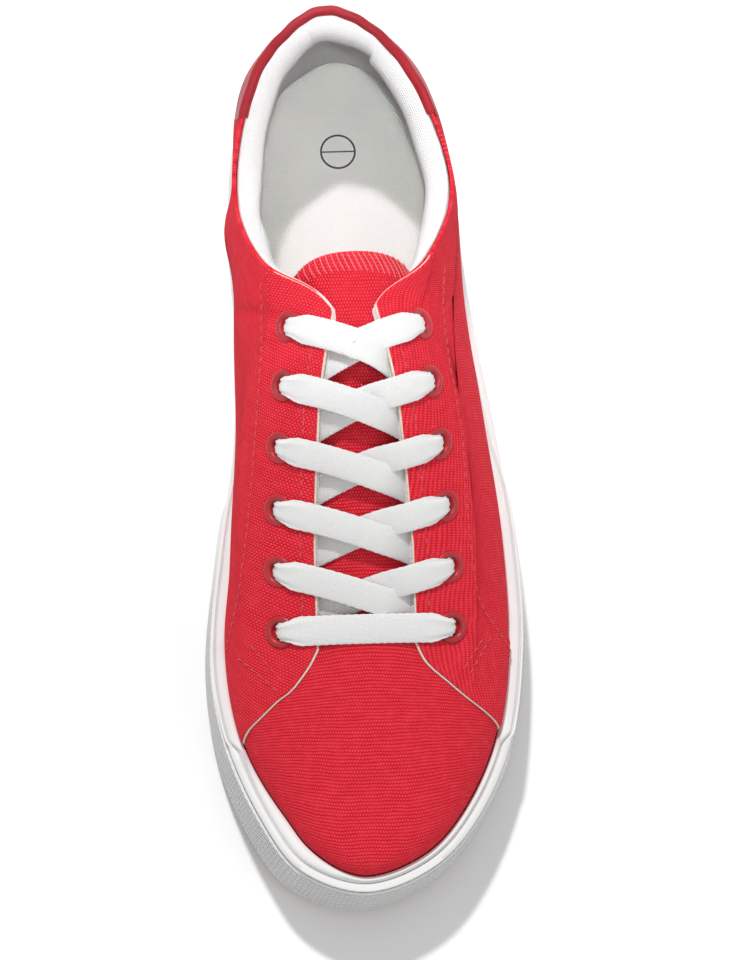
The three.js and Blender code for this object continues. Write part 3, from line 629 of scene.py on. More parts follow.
def gum_material(colour):
    """Brown gum rubber, paler where the tread is rubbed."""
    material, tree, shader = new_material("moulded_gum", Roughness=0.45, Specular_IOR_Level=0.5)
    grain = group_node(tree, "fine_grain", Vector=place_of(tree), Scale=1500.0, Pebble=0.3)
    worn = add_node(tree, "ShaderNodeAttribute", attribute_name="worn").outputs["Fac"]
    base = mottled(tree, grain["Mottle"], 0.3, 0.75, shade(colour, 0.82), shade(colour, 1.1))
    pale = (colour[0] * 1.5, colour[1] * 1.75, colour[2] * 1.9, 1.0)
    tree.links.new(mix_colour(tree, worn, base, pale), shader["Base Color"])
    tree.links.new(remap(tree, grain["Mottle"], 0.3, 0.7, 0.38, 0.55), shader["Roughness"])
    bump_into(tree, shader, grain["Height"], 0.00006, 0.6)
    return material


def leatherette_material(colour):
    material, tree, shader = new_material("coated_leatherette", Roughness=0.4, Specular_IOR_Level=0.22)
    grain = group_node(tree, "fine_grain", Vector=place_of(tree), Scale=1500.0, Pebble=0.9)
    tone = mottled(tree, grain["Mottle"], 0.35, 0.7, shade(colour, 0.88), shade(colour, 1.08))
    tree.links.new(tone, shader["Base Color"])
    tree.links.new(remap(tree, grain["Mottle"], 0.3, 0.7, 0.36, 0.5), shader["Roughness"])
    bump_into(tree, shader, grain["Height"], 0.00012, 0.8)
    return material


def enamel_material(colour):
    material, tree, shader = new_material("glossy_enamel", Roughness=0.3, Specular_IOR_Level=0.4)
    grain = group_node(tree, "fine_grain", Vector=place_of(tree), Scale=900.0, Pebble=0.2)
    tone = mottled(tree, grain["Mottle"], 0.35, 0.7, shade(colour, 0.9), shade(colour, 1.1))
    tree.links.new(tone, shader["Base Color"])
    bump_into(tree, shader, grain["Height"], 0.00003, 0.4)
    return material


def lace_material(colour):
    """Flat cotton tape with fine ribs along it, and painted shade in the hollows of its weave."""
    material, tree, shader = new_material("lace_tape", Roughness=0.9, Sheen_Weight=0.05)
    where = uv_of(tree)
    cloth = group_node(tree, "woven_cloth", Vector=where, Ends=2600.0, Picks=1900.0, Slub=0.1)
    # Painted shade: a slightly darker copy of the colour in the weave's hollows.
    tree.links.new(mix_colour(tree, cloth["Thread"], shade(colour, 0.88), colour), shader["Base Color"])
    bump_into(tree, shader, cloth["Height"], 0.00022, 0.7)
    return material


def thread_material(name, colour):
    """Twisted sewing thread."""
    material, tree, shader = new_material(name, Roughness=0.7, Sheen_Weight=0.2)
    inputs = {"Vector": place_of(tree), "Scale": 900.0, "Distortion": 2.0}
    twist = add_node(tree, "ShaderNodeTexWave", inputs).outputs["Fac"]
    tree.links.new(mix_colour(tree, twist, shade(colour, 0.8), colour), shader["Base Color"])
    bump_into(tree, shader, twist, 0.0001, 0.5)
    return material


def cut_edge_material(colour):
    """The raw cut edge of glued canvas."""
    material, tree, shader = new_material("cut_edge", Roughness=0.95)
    speck = noise(tree, place_of(tree), 1800.0, 3.0)
    tree.links.new(mottled(tree, speck, 0.35, 0.65, shade(colour, 0.8), colour), shader["Base Color"])
    bump_into(tree, shader, speck, 0.0002, 0.6)
    return material


def material_named(name):
    return bpy.data.materials[name]


# ---------------------------------------------------------------- sole

# The white wall from the band that hugs the canvas to the pocket for the brown sole: inset and height.
WALL_PROFILE = (
    (5.75, 17.0, "spring"),
    (5.75, 26.6, "spring"),
    (5.55, 27.25, "spring"),
    (5.1, 27.5, "spring"),
    (4.3, 27.6, "spring"),
    (3.6, 27.4, "spring"),
    (3.15, 26.95, "spring"),
    (2.95, 25.9, "spring"),
    (2.8, 25.5, "spring"),
    (2.6, 25.9, "spring"),
    (2.25, 26.55, "spring"),
    (1.75, 26.5, "spring"),
    (1.3, 26.1, "spring"),
    (1.1, 25.5, "spring"),
    (1.12, 24.9, "spring"),
    (1.3, 24.3, "spring"),
    (1.25, 23.6, "spring"),
    (1.1, 20.0, "spring"),
    (0.8, 14.0, "spring"),
    (0.45, 8.0, "lift"),
    (0.2, 4.6, "lift"),
    (0.25, 4.2, "lift"),
    (0.55, 4.0, "lift"),
    (0.55, 3.7, "lift"),
    (0.2, 3.45, "lift"),
    (0.02, 3.0, "lift"),
    (0.0, 2.0, "lift"),
    (0.25, 1.2, "lift"),
    (0.7, 0.9, "lift"),
    (2.1, 0.9, "lift"),
    (2.4, 1.1, "lift"),
    (2.4, 4.9, "lift"),
)


# The rows of the profile that make the lip, from the canvas out.
LIP_ROWS = slice(4, 14)


def profile_round(u, profile):
    """Columns of a wall profile at signed stations."""
    ring = np.empty((len(u), len(profile), 3))
    for j, (inset, height, curl) in enumerate(profile):
        jog = lip_jog(u) if 1.7 < inset < 4.0 and height > 20 else 0
        x, y = outline(u, inset + jog + (canvas_inset(u) - CANVAS_INSET) * smoothstep(inset, 3.0, 4.8))
        ring[:, j] = np.stack([x, y, height + (spring(y) if curl == "spring" else lift(y))], -1)
    return ring


def across(u_ring, columns):
    """Pairs of columns that face each other over the sole, from heel to toe."""
    half = len(u_ring) // 2
    return [(k % columns, (columns - k) % columns) for k in range(half + 1)]


def capped_sweep(name, ring, material, uv, sharp=50, layers=None):
    """A profile swept round the shoe, its first and last rows closed from side to side."""
    columns, rows = ring.shape[:2]
    faces = grid_faces(columns, rows, closed=True)
    for row, flip in ((0, False), (rows - 1, True)):
        pairs = across(np.arange(columns), columns)
        for (a, b), (c, d) in zip(pairs, pairs[1:]):
            quad = [a * rows + row, c * rows + row, d * rows + row, b * rows + row]
            quad = list(dict.fromkeys(quad))
            faces.append(quad[::-1] if flip else quad)
    return make_piece(name, ring.reshape(-1, 3), faces, material, uv.reshape(-1, 2), sharp, layers)


def knurl_mask(u):
    """Where the rubber is knurled: it fades in ahead of the waist."""
    return smoothstep(np.abs(u), 5.9, 7.2)


def lip_jog(u):
    """The groove inside the lip lies further in behind the corners of the side pieces."""
    return 0.9 - 1.9 * smoothstep(np.abs(u), 5.0, 5.6) * (1 - smoothstep(np.abs(u), 7.95, 8.15))


def layered_bulge(u):
    """The rubber swells slightly over the thick front edges of the side pieces."""
    places = ((-8.2, 0.7), (8.05, 0.7), (-6.9, 0.3), (6.7, 0.3))
    return sum(depth * np.exp(-(((u - at) / 0.12) ** 2)) for at, depth in places)


def build_sidewall():
    u = np.linspace(0, 2 * TOE, 720, endpoint=False)
    u = np.where(u > TOE, u - 2 * TOE, u)
    ring = profile_round(u, WALL_PROFILE)
    ring[:, LIP_ROWS, 2] += layered_bulge(u)[:, None]
    length = np.repeat(along_shoe(u)[:, None], ring.shape[1], 1)
    uv = np.stack([length, ring[..., 2]], -1)
    mask = np.repeat(knurl_mask(u)[:, None], ring.shape[1], 1)
    height = np.array([row[1] for row in WALL_PROFILE])
    mask = mask * ((height < 23.8) & (height > 4.4))[None, :]
    piece = capped_sweep("white_sidewall", ring, material_named("moulded_rubber"), uv, 60,
                         {"knurl": mask.ravel()})
    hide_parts("sidewall")


# The toe strip's section, from its lower edge up its face and down its back: inset and height.
BUMPER_PROFILE = (
    (0.15, 1.35), (-0.5, 1.5), (-0.95, 2.1), (-1.0, 3.2), (-0.9, 8), (-0.6, 13), (-0.25, 18), (0.0, 22.0),
    (0.12, 23.1), (0.4, 23.7), (0.95, 23.9), (1.3, 23.6), (1.0, 14), (0.6, 6), (0.3, 2.2),
)
BUMPER_FACE = slice(3, 9)  # the rows of the strip's knurled face
BUMPER_FRONT = 10  # the rows in front of the seat


def build_toe_strip():
    """The knurled strip round the toe and ball, with softly rounded ends."""
    half = np.linspace(BUMPER_STATION, TOE, 230)
    u = np.concatenate([half, -half[-2::-1]])
    rows = len(BUMPER_PROFILE)
    ring = np.empty((len(u), rows, 3))
    end = smoothstep(np.abs(u), BUMPER_STATION, BUMPER_STATION + 0.06)
    for j, (inset, height) in enumerate(BUMPER_PROFILE):
        seated = 0.4 if j < BUMPER_FRONT else inset
        x, y = outline(u, seated + (inset - seated) * end)
        ring[:, j] = np.stack([x, y, height + spring(y)], -1)
    length = np.repeat(along_shoe(u)[:, None], rows, 1)
    length[len(u) // 2 + 1:] += along_shoe(TOE) - along_shoe(-TOE)
    uv = np.stack([length, arc_length(ring, 1)], -1)
    mask = np.zeros(ring.shape[:2])
    mask[:, BUMPER_FACE] = smoothstep(np.abs(u), 5.75, 6.9)[:, None]
    piece = make_piece("toe_strip", ring.reshape(-1, 3), swept(ring, closed=False),
                       material_named("moulded_rubber"), uv.reshape(-1, 2), 50, {"knurl": mask.ravel()})
    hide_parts("toe_bumper")


# The broad and narrow ribs of the tread: middle, length, angle in degrees and width.
TREAD_BARS = [(AXIS_X, y, 66, 24, 4.2) for y in (98, 84, 70, 56)] + [
    (AXIS_X - 12.5, 78, 42, 90, 1.8),
    (AXIS_X + 12.5, 78, 42, 90, 1.8),
    (AXIS_X, 66, 88, 90, 1.8),
    (AXIS_X + 1, 36, 62, -24, 4.2),
    (AXIS_X - 1, -14, 96, 62, 4.2),
    (AXIS_X + 5, -14, 96, 118, 4.2),
    (AXIS_X + 2, -56, 108, 90, 1.8),
]
# Round ribs: centre, radius, first and last angle, width.
TREAD_ARCS = [(AXIS_X + 2, -62, radius, 190, 350, 4.2) for radius in (17, 31, 45)] + [
    (AXIS_X, 98, 12.5, 0, 180, 1.8),
    (AXIS_X + 36, -62, 30, 100, 260, 1.8),
    (AXIS_X - 32, -62, 30, -80, 80, 1.8),
]


def rib_distance(x, y):
    """How far inside the nearest rib of the tread a place is, negative outside."""
    best = np.full(x.shape, -99.0)
    for cx, cy, length, angle, width in TREAD_BARS:
        a = math.radians(angle)
        along = (x - cx) * math.cos(a) + (y - cy) * math.sin(a)
        off = np.abs(-(x - cx) * math.sin(a) + (y - cy) * math.cos(a))
        best = np.maximum(best, np.minimum(width / 2 - off, length / 2 - np.abs(along)))
    for cx, cy, radius, low, high, width in TREAD_ARCS:
        r = np.hypot(x - cx, y - cy)
        middle, spread = math.radians((low + high) / 2), math.radians((high - low) / 2)
        turn = np.abs(np.angle(np.exp(1j * (np.arctan2(y - cy, x - cx) - middle))))
        best = np.maximum(best, np.minimum(width / 2 - np.abs(r - radius), (spread - turn) * radius))
    return best


def sole_deck(inset, stations, steps):
    """Places over the whole sole inside an inset of its outline, and how far each is from that edge."""
    share = np.linspace(0, 1, stations)
    s = TOE * (0.75 * share + 0.25 * (1 - np.cos(share * math.pi)) / 2)
    t = np.linspace(0, 1, steps)
    t = 0.6 * t + 0.4 * (1 - np.cos(t * math.pi)) / 2
    ax, ay = outline(s, inset(s))
    bx, by = outline(-s, inset(-s))
    x = ax[:, None] * (1 - t) + bx[:, None] * t
    y = ay[:, None] * (1 - t) + by[:, None] * t
    around = np.linspace(-TOE, TOE, 500)
    ex, ey = outline(around, inset(around))
    edge = np.full(x.shape, 99.0)
    for k in range(0, len(ex), 50):
        gap = np.hypot(x[..., None] - ex[k:k + 50], y[..., None] - ey[k:k + 50])
        edge = np.minimum(edge, gap.min(-1))
    return x, y, edge


def build_outsole():
    """The brown sole: a ribbed border, broad ribs, and fine hatching between them."""
    x, y, edge = sole_deck(lambda u: OUTSOLE_INSET, 330, 131)
    inside = smoothstep(edge, 6.6, 7.6)
    rib = smoothstep(rib_distance(x, y), -0.35, 0.45)
    hatch = 0.5 + 0.5 * np.sin((x + 0.45 * y) * 2 * math.pi / 3.4)
    depth = inside * (1 - rib) * (TREAD_DEPTH - 0.5 * smoothstep(hatch, 0.3, 0.8))
    border = smoothstep(edge, 1.2, 1.8) * (1 - smoothstep(edge, 6.0, 6.5))
    depth += border * 0.55 * smoothstep(0.5 + 0.5 * np.sin(edge * 2 * math.pi / 1.25), 0.25, 0.75)
    bottom = np.stack([x, y, depth + lift(y)], -1)
    roof = np.stack([x, y, np.full(x.shape, OUTSOLE_TOP) + lift(y)], -1)
    worn = (1 - smoothstep(depth, 0.0, 0.5)) * 0.45
    points, faces, uvs = sheet_parts(bottom, roof, np.stack([x, y], -1))
    worn = np.concatenate([worn.ravel(), np.zeros(len(points) - worn.size)])
    piece = make_piece("gum_outsole", points, faces, material_named("moulded_gum"), uvs, 40,
                       {"worn": worn})
    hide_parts("outsole")


# The insole's height above the footbed at distances from its edge: it is dished, with a soft raised rim.
INSOLE_EDGE = (0, 0.3, 0.9, 2.2, 4.5, 8)
INSOLE_HEIGHT = (3.3, 3.5, 3.68, 3.8, 3.75, 3.62)


def build_insole():
    """The footbed's cloth, with a plain ring under the heel."""
    x, y, edge = sole_deck(lambda u: canvas_inset(u) + 2.1, 170, 70)
    top = np.stack([x, y, footbed(y) + np.interp(edge, INSOLE_EDGE, INSOLE_HEIGHT)], -1)
    base = np.stack([x, y, footbed(y) + 0.4], -1)
    points, faces, uvs = sheet_parts(top, base, np.stack([x, y], -1))
    piece = make_piece("insole_cloth", points, faces, material_named("insole_cloth"), uvs, 60)
    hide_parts("insole")
    build_insole_ring()


RING_CENTRE = (AXIS_X - 0.1, 101.4)
RING_RADII = (5.65, 5.05)
RING_BAR = (5.2, 0.22)  # half its length and half its width


def build_insole_ring():
    """A plain printed ring with one bar, lying on the insole."""
    x, y = RING_CENTRE
    level = footbed(y) + INSOLE_HEIGHT[-1] + 0.06
    angles = np.linspace(0, 2 * math.pi, 64, endpoint=False)
    points = []
    for radius in RING_RADII:
        points += [(x + radius * math.cos(a), y + radius * math.sin(a), level) for a in angles]
    count = len(angles)
    faces = [[k, (k + 1) % count, count + (k + 1) % count, count + k] for k in range(count)]
    long, wide = RING_BAR
    for along, across_it in ((-long, -wide), (long, -wide), (long, wide), (-long, wide)):
        points.append((x + along, y + across_it, level))
    faces.append([2 * count + k for k in range(4)])
    piece = make_piece("insole_ring", points, faces, material_named("ink"), None)
    solid = piece.modifiers.new("thickness", "SOLIDIFY")
    solid.thickness = 0.00004
    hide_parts("insole")


# ---------------------------------------------------------------- upper

QUARTER_OUT = 0.4  # outer face of the rear pieces, over the skin
FACING_OUT = 1.15  # outer face of the front pieces, which lie over them
SEAM_LAP = 0.35  # how far the rear pieces reach under the front ones, in stations
EDGE_LAP = 0.014  # how far the raw edge shows past the front pieces, in stations
BACKING_SET = 0.05  # how far the cut edge's backing starts in front of the facing's rear

# Soft troughs and ridges worn in: side, station, height, length, width, turn in degrees, depth.
CREASES = (
    (1, 7.15, 0.62, 26, 3.2, 12, 0.45),
    (1, 7.45, 0.6, 20, 2.8, 14, -0.3),
    (-1, 7.2, 0.62, 24, 3.2, -12, 0.4),
    (-1, 7.5, 0.58, 18, 2.8, -14, -0.3),
    (1, 4.6, 0.52, 22, 6.5, 60, 0.25),
    (-1, 4.7, 0.5, 22, 4.5, -58, 0.5),
    (-1, 4.28, 0.73, 26, 2.2, 54, 1.0),
    (-1, 4.17, 0.78, 22, 3.4, 54, -0.5),
    (1, 3.4, 0.55, 26, 6, 8, 0.4),
    (-1, 3.3, 0.55, 26, 6, -8, 0.45),
)


def creases(u, v):
    """How far the canvas is pushed out at a signed station and height."""
    total = np.zeros(np.broadcast(u, v).shape)
    for side, station, height, length, width, turn, depth in CREASES:
        a = math.radians(turn)
        x = (np.abs(u) - station) * 30
        y = (v - height) * 55
        along = x * math.cos(a) + y * math.sin(a)
        off = -x * math.sin(a) + y * math.cos(a)
        mark = np.exp(-((along / length * 2) ** 2) - (off / width) ** 2)
        total -= depth * mark * (np.sign(u + 1e-9) == side)
    return total


def cloth_offset(u, v, distance):
    """The thickness of cloth on the upper, tucked in where it goes behind the rubber."""
    tuck = smoothstep(v, -0.02, 0.07)
    worn = creases(u, v) * smoothstep(v, 0, 0.15)
    return np.minimum(distance, 0) + np.maximum(distance, 0) * tuck + worn


def skin_sheet(name, u, v, near, far, material, cloth):
    """A closed sheet of cloth over places of the upper, between two distances from its face."""
    outer = skin(u, v, cloth_offset(u, v, far))
    inner = skin(u, v, cloth_offset(u, v, far) - (far - near))
    points, faces, uvs = sheet_parts(outer, inner, cloth(u, outer))
    piece = make_piece(name, points, faces, material, uvs)
    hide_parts("upper")
    return piece


# The front edge of each side piece on the plan, from the throat out to the rubber.
FRONT_EDGE = {
    MEDIAL: ((-16.5, -65.2), (-18.8, -69.9), (-23.2, -75.6), (-27.6, -78.6), (-32.8, -82.6), (-37.2, -85.7),
             (-40.2, -89.1)),
    LATERAL: ((15.2, -64.3), (16.8, -69.4), (21.1, -74.6), (25.5, -78.8), (30.3, -82.2), (34, -84.6),
              (37.2, -86.6)),
}
# The rear seam of each front piece on the plan, from the collar out to the rubber.
REAR_SEAM = {
    MEDIAL: ((-30.8, 45.1), (-30.6, 34), (-30.9, 22), (-31.8, 10.4), (-32.7, -1.2), (-33.9, -12.5),
             (-35.4, -23.9), (-37.2, -35.2), (-39.3, -46.4), (-43, -60.4)),
    LATERAL: ((25, 50.6), (24.2, 37.3), (24.8, 25.3), (26, 13.4), (28.1, -1.1), (28.8, -15.4), (29.8, -26.8),
              (30.9, -38.2), (33.2, -49.5), (38.9, -57.4), (42.7, -61.2)),
}


def curve_through(plan, count):
    """A smooth curve through given places on the plan."""
    plan = np.array(plan, float)
    ends = np.concatenate([2 * plan[:1] - plan[1:2], plan, 2 * plan[-1:] - plan[-2:-1]])
    t = np.linspace(1, len(plan), count)
    return smooth(ends[:, 0], t), smooth(ends[:, 1], t)


def seam_on_skin(side, plan, count):
    """A curve on the plan followed on the skin: signed stations and heights, from top to bottom."""
    return find_on_skin(side, *curve_through(plan, count))


def seam_by_height(side, plan, rows):
    """The signed station of a seam at each row, from the rubber (row 0) to its top end."""
    u, v = seam_on_skin(side, plan, 90)
    u, v = u[::-1], v[::-1]
    v = (v - v[0]) / (v[-1] - v[0])
    order = np.maximum.accumulate(v)
    return np.interp(rows, order, u)


def build_vamp():
    """The front of the upper, one piece over the toes, running back under the side pieces."""
    start = 6.3
    u = np.concatenate([np.linspace(start, TOE, 110), np.linspace(-TOE, -start, 110)[1:]])
    rows = np.linspace(-0.12, 1, 64)
    uu, vv = np.meshgrid(u, rows, indexing="ij")
    limit = np.where(np.abs(u) < 7.6, np.minimum(1, throat_edge(u)), 1.0)
    limit = 1 - (1 - limit) * (1 - smoothstep(np.abs(u), 7.1, 7.12))
    vv = np.minimum(vv, limit[:, None])
    outer = skin(uu, vv, cloth_offset(uu, vv, np.zeros(uu.shape)))
    ridge = np.abs(u) >= 7.12
    for k in np.nonzero(ridge)[0]:
        mirror = len(u) - 1 - k
        outer[k, -1] = (outer[k, -1] + outer[mirror, -1]) / 2
        outer[mirror, -1] = outer[k, -1]
    inner = outer - skin_normal(uu, vv) * 0.9
    faces = grid_faces(*uu.shape) + grid_faces(*uu.shape, start=uu.size, flip=True)
    points = np.concatenate([outer.reshape(-1, 3), inner.reshape(-1, 3)])
    cloth = top_cloth(outer).reshape(-1, 2)
    piece = make_piece("vamp", points, faces, material_named("plain_canvas"),
                       np.concatenate([cloth, cloth]), 60)
    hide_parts("upper")


def panel_grid(rear, front, columns, rows, top_margin=0.0):
    """Places on the skin between two seams, given as the signed station at each row."""
    t = np.linspace(0, 1, columns)[:, None]
    r = np.linspace(0, 1, rows)[None, :]
    u = rear * (1 - t) + front * t
    v = -0.08 + (throat_edge(u, top_margin) + 0.08) * r
    return u, v


def build_quarter(side, word):
    """The side of the shoe from the heel to beneath the front piece."""
    rows = np.linspace(0, 1, 56)
    front = seam_by_height(side, REAR_SEAM[side], rows) + side * SEAM_LAP
    u, v = panel_grid(np.zeros(rows.shape), front, 150, len(rows))
    piece = skin_sheet(f"quarter_{word}", u, v, -0.9, QUARTER_OUT, material_named("bias_canvas"),
                       side_cloth)


def build_facing(side, word):
    """The front piece that holds the eyelets, with a raw edge over the vamp."""
    rows = np.linspace(0, 1, 64)
    rear = seam_by_height(side, REAR_SEAM[side], rows)
    front = seam_by_height(side, FRONT_EDGE[side], rows)
    u, v = panel_grid(rear, front, 110, len(rows))
    piece = skin_sheet(f"facing_{word}", u, v, QUARTER_OUT, FACING_OUT, material_named("bias_canvas"),
                       side_cloth)
    punch_eyelets(piece, side)
    u, v = panel_grid(rear + side * BACKING_SET, front + side * EDGE_LAP, 110, len(rows), 0.6)
    backing = skin_sheet(f"facing_edge_{word}", u, v, QUARTER_OUT - 0.5, FACING_OUT - 0.45,
                         material_named("cut_edge"), side_cloth)
    punch_eyelets(backing, side)


def build_inner_lining():
    """White cloth over the whole inside of the front, reaching a little past the throat's edge."""
    for side, word in ((MEDIAL, "medial"), (LATERAL, "lateral")):
        u = side * np.linspace(3.4, TOE, 120)[:, None] * np.ones((1, 40))
        top = np.where(np.abs(u) < 7.55, throat_edge(u, 0.5), 1.0)
        v = -0.85 + (top + 0.85) * np.linspace(0, 1, 40)[None, :]
        piece = skin_sheet(f"lining_{word}", u, v, -1.95, -1.2, material_named("lining_cloth"),
                           side_cloth)
        punch_eyelets(piece, side)


# The padded roll inside the collar: height on the wall and distance from the canvas's face.
COLLAR_ROLL = (
    (0.995, -1.0), (1.004, -1.9), (1.006, -3.0), (0.998, -4.4), (0.975, -5.7), (0.93, -6.6), (0.86, -6.9),
    (0.78, -6.6), (0.7, -5.9), (0.62, -4.9), (0.55, -3.8), (0.5, -3.0), (0.42, -2.6), (0.2, -2.5),
    (-0.2, -2.45), (-0.7, -2.4), (-0.7, -2.0), (0.2, -1.9), (0.5, -1.6), (0.8, -1.3),
)


LINING_DEPTH = 2.4  # how far the lining lies inside the canvas where it isn't padded


def build_collar_lining():
    """The soft white roll round the collar, with the cloth that runs down from it to the insole."""
    reach = 4.5
    u = np.linspace(-reach, reach, 300)
    fade = np.minimum(1, 0.12 + (reach - np.abs(u)) / 0.9)
    rim = skin_point(u, np.ones(u.shape))
    aside = np.abs(rim[:, 0] - AXIS_X)
    heel = rim[:, 1] > 90
    fold = heel * np.exp(-(((aside - 11.5) / 1.5) ** 2))
    bridge = (heel * smoothstep(-aside, -13.5, -9))[:, None]
    wander = 0.1 * np.sin(u * 5.3) * np.sin(u * 2.9 + 1)
    rows = len(COLLAR_ROLL)
    ring = np.empty((len(u), rows, 3))
    for j, (v, distance) in enumerate(COLLAR_ROLL):
        padding = min(0, distance + LINING_DEPTH)
        plump = distance - padding + padding * (1.5 + wander) * fade * (1 - 0.22 * fold)
        height = np.full(u.shape, float(v))
        base = skin_point(u, height)
        push = skin(u, height, plump) - base
        straight = push.copy()
        straight[:, 0] = 0
        straight[:, 1] = -np.hypot(push[:, 0], push[:, 1])
        ring[:, j] = base + push * (1 - bridge) + straight * bridge
    uv = np.stack([np.repeat(along_shoe(u)[:, None], rows, 1), arc_length(ring, 1)], -1)
    piece = make_piece("collar_lining", ring.reshape(-1, 3), swept(ring, closed=False),
                       material_named("lining_cloth"), uv.reshape(-1, 2), 60)
    smooth_more = piece.modifiers.new("round", "SUBSURF")
    smooth_more.levels = smooth_more.render_levels = 1
    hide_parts("collar_padding")


# The heel tab's lower edge at stations from the heel, and how the tab folds over the collar's edge.
TAB_EDGE = {"station": (0, 0.77, 1.54, 2.3), "height": (0.46, 0.5, 0.6, 0.8)}
TAB_FOLD = ((1.01, 1.25), (1.02, 0.75), (1.025, 0.0), (1.024, -0.8), (1.016, -1.4), (1.004, -1.8))


def tab_grid():
    """Stations and heights over the heel tab."""
    reach = TAB_EDGE["station"][-1]
    u = np.linspace(-reach, reach, 150)[:, None] * np.ones((1, 40))
    low = np.interp(np.abs(u), TAB_EDGE["station"], TAB_EDGE["height"])
    return u, low + (1 - low) * np.linspace(0, 1, 40)[None, :]


def build_heel_tab():
    """Smooth leatherette over the back of the collar, folded over its edge."""
    u, v = tab_grid()
    rise, out = np.array(TAB_FOLD).T
    fold = np.ones((len(u), 1))
    u = np.concatenate([u, u[:, :1] * np.ones((1, len(rise)))], 1)
    v = np.concatenate([v, fold * rise], 1)
    pull = 0.22 * np.sin(u * 9 + 1.0) * np.sin(u * 4.3) * smoothstep(v, 0.7, 1)
    far = np.concatenate([np.full((len(fold), 40), 1.32), fold * out], 1) + pull
    outer = skin(u, v, far)
    normal = unit(np.cross(np.gradient(outer, axis=0), np.gradient(outer, axis=1)))
    normal *= np.sign((normal * skin_normal(u, np.minimum(v, 1))).sum(-1).mean())
    points, faces, uvs = sheet_parts(outer, outer - normal * 0.8, side_cloth(u, outer))
    piece = make_piece("heel_tab_cover", points, faces, material_named("coated_leatherette"), uvs, 50)
    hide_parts("heel_tab")


def build_tongue(sizes):
    """Canvas over a white lining, with an overlocked end."""
    y = np.linspace(-66, TONGUE["y"][-1], 120)
    t = np.linspace(-1, 1, 50)
    half, z, drop = (table_at(TONGUE, name, y) for name in ("half", "z", "drop"))
    for values in (half, z, drop):
        for _ in range(10):
            values[1:-1] = (values[:-2] + 2 * values[1:-1] + values[2:]) / 4
    half = half + 1.5 * smoothstep(y, 36, 44)
    yy, tt = np.meshgrid(y, t, indexing="ij")
    yy = yy - 4.5 * np.abs(tt) ** 5 * smoothstep(yy, 34, TONGUE["y"][-1])
    corner = 2.8 * tt**6 * smoothstep(yy, 32, 44)
    x = table_at(THROAT, "x", yy) + tt * half[:, None]
    seam = TONGUE["y"][-1] - sizes.overlock_depth / MM
    groove = 0.35 * np.exp(-(((y[:, None] - seam) / 0.6) ** 2)) * np.ones(len(t))
    points = np.stack([x, yy, z[:, None] - drop[:, None] * tt**2 - corner - groove], -1)
    bend = unit(np.cross(np.gradient(points, axis=0), np.gradient(points, axis=1)))
    bend *= np.sign(bend[..., 2:3])
    cloth = np.stack([x, arc_length(points, 0)], -1)
    for name, top, bottom, material, slot in (
        ("tongue_canvas", 0.15, -1.0, "plain_canvas", "canvas"),
        ("tongue_lining", -1.02, -2.3, "lining_cloth", "white_lining"),
    ):
        grid, faces, uvs = sheet_parts(points + bend * top, points + bend * bottom, cloth)
        piece = make_piece(name, grid, faces, material_named(material), uvs, 50)
        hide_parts("tongue")
    build_overlock(points + bend * 0.2, bend, int(np.searchsorted(y, seam)))


def build_overlock(points, bend, first):
    """Slanted overlock stitches over the tongue's end."""
    columns = points.shape[1]
    places = np.linspace(1, columns - 5, 22)
    paths = []
    for place in places:
        rows = np.arange(first, len(points))
        slant = place + 3.2 * (1 - np.linspace(0, 1, len(rows)))
        left = slant.astype(int)
        part = (slant - left)[:, None]
        path = points[rows, left] * (1 - part) + points[rows, left + 1] * part
        over = path[-1] + (path[-1] - path[-2]) * 0.8 - bend[-1, int(place)] * 0.5
        paths.append(np.concatenate([path, [over]]))
    piece = stitch_mesh("tongue_overlock", paths, 0.17, "pink_thread")
    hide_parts("tongue")


# ---------------------------------------------------------------- stitches


def tube_parts(path, radius):
    """A round thread along a short path, thinner at its ends."""
    path = np.asarray(path, float)
    tangent = unit(np.gradient(path, axis=0))
    aside = unit(np.cross(tangent, np.array([0.21, 0.35, 0.91])))
    up = np.cross(aside, tangent)
    angles = np.linspace(0, 2 * math.pi, 6, endpoint=False)
    scale = np.full(len(path), 1.0)
    scale[[0, -1]] = 0.45
    ring = path[:, None] + radius * scale[:, None, None] * (
        np.cos(angles)[None, :, None] * aside[:, None] + np.sin(angles)[None, :, None] * up[:, None]
    )
    return ring.reshape(-1, 3), swept(ring, closed=False)


def stitch_mesh(name, paths, radius, material):
    points, faces, start = [], [], 0
    for path in paths:
        more, quads = tube_parts(path, radius)
        points.append(more)
        faces += [[start + k for k in quad] for quad in quads]
        start += len(more)
    piece = make_piece(name, np.concatenate(points), faces, material_named(material), None, 80)
    return piece


def stitch_paths(u, v, distance, length=2.3, gap=0.9):
    """Stitches along a curve on the skin: each dips into the cloth at both ends."""
    line = skin(u, v, np.full(u.shape, float(distance)))
    reach = arc_length(line, 0)
    total = reach[-1]
    count = max(1, int(total / (length + gap)))
    step = total / count
    paths = []
    for k in range(count):
        at = np.linspace(k * step, k * step + step - gap, 5)
        uu, vv = np.interp(at, reach, u), np.interp(at, reach, v)
        arch = np.array([-0.3, 0.12, 0.2, 0.12, -0.3])
        paths.append(skin(uu, vv, distance + arch))
    return paths


STITCH_ROWS = {
    MEDIAL: (((-39.4, -64.6), (-28.1, -77.2)), ((-35.7, -61.8), (-26.5, -74.6))),
    LATERAL: (((33.5, -61.8), (27.1, -71.8)), ((36.2, -60.7), (28.7, -73.4))),
}


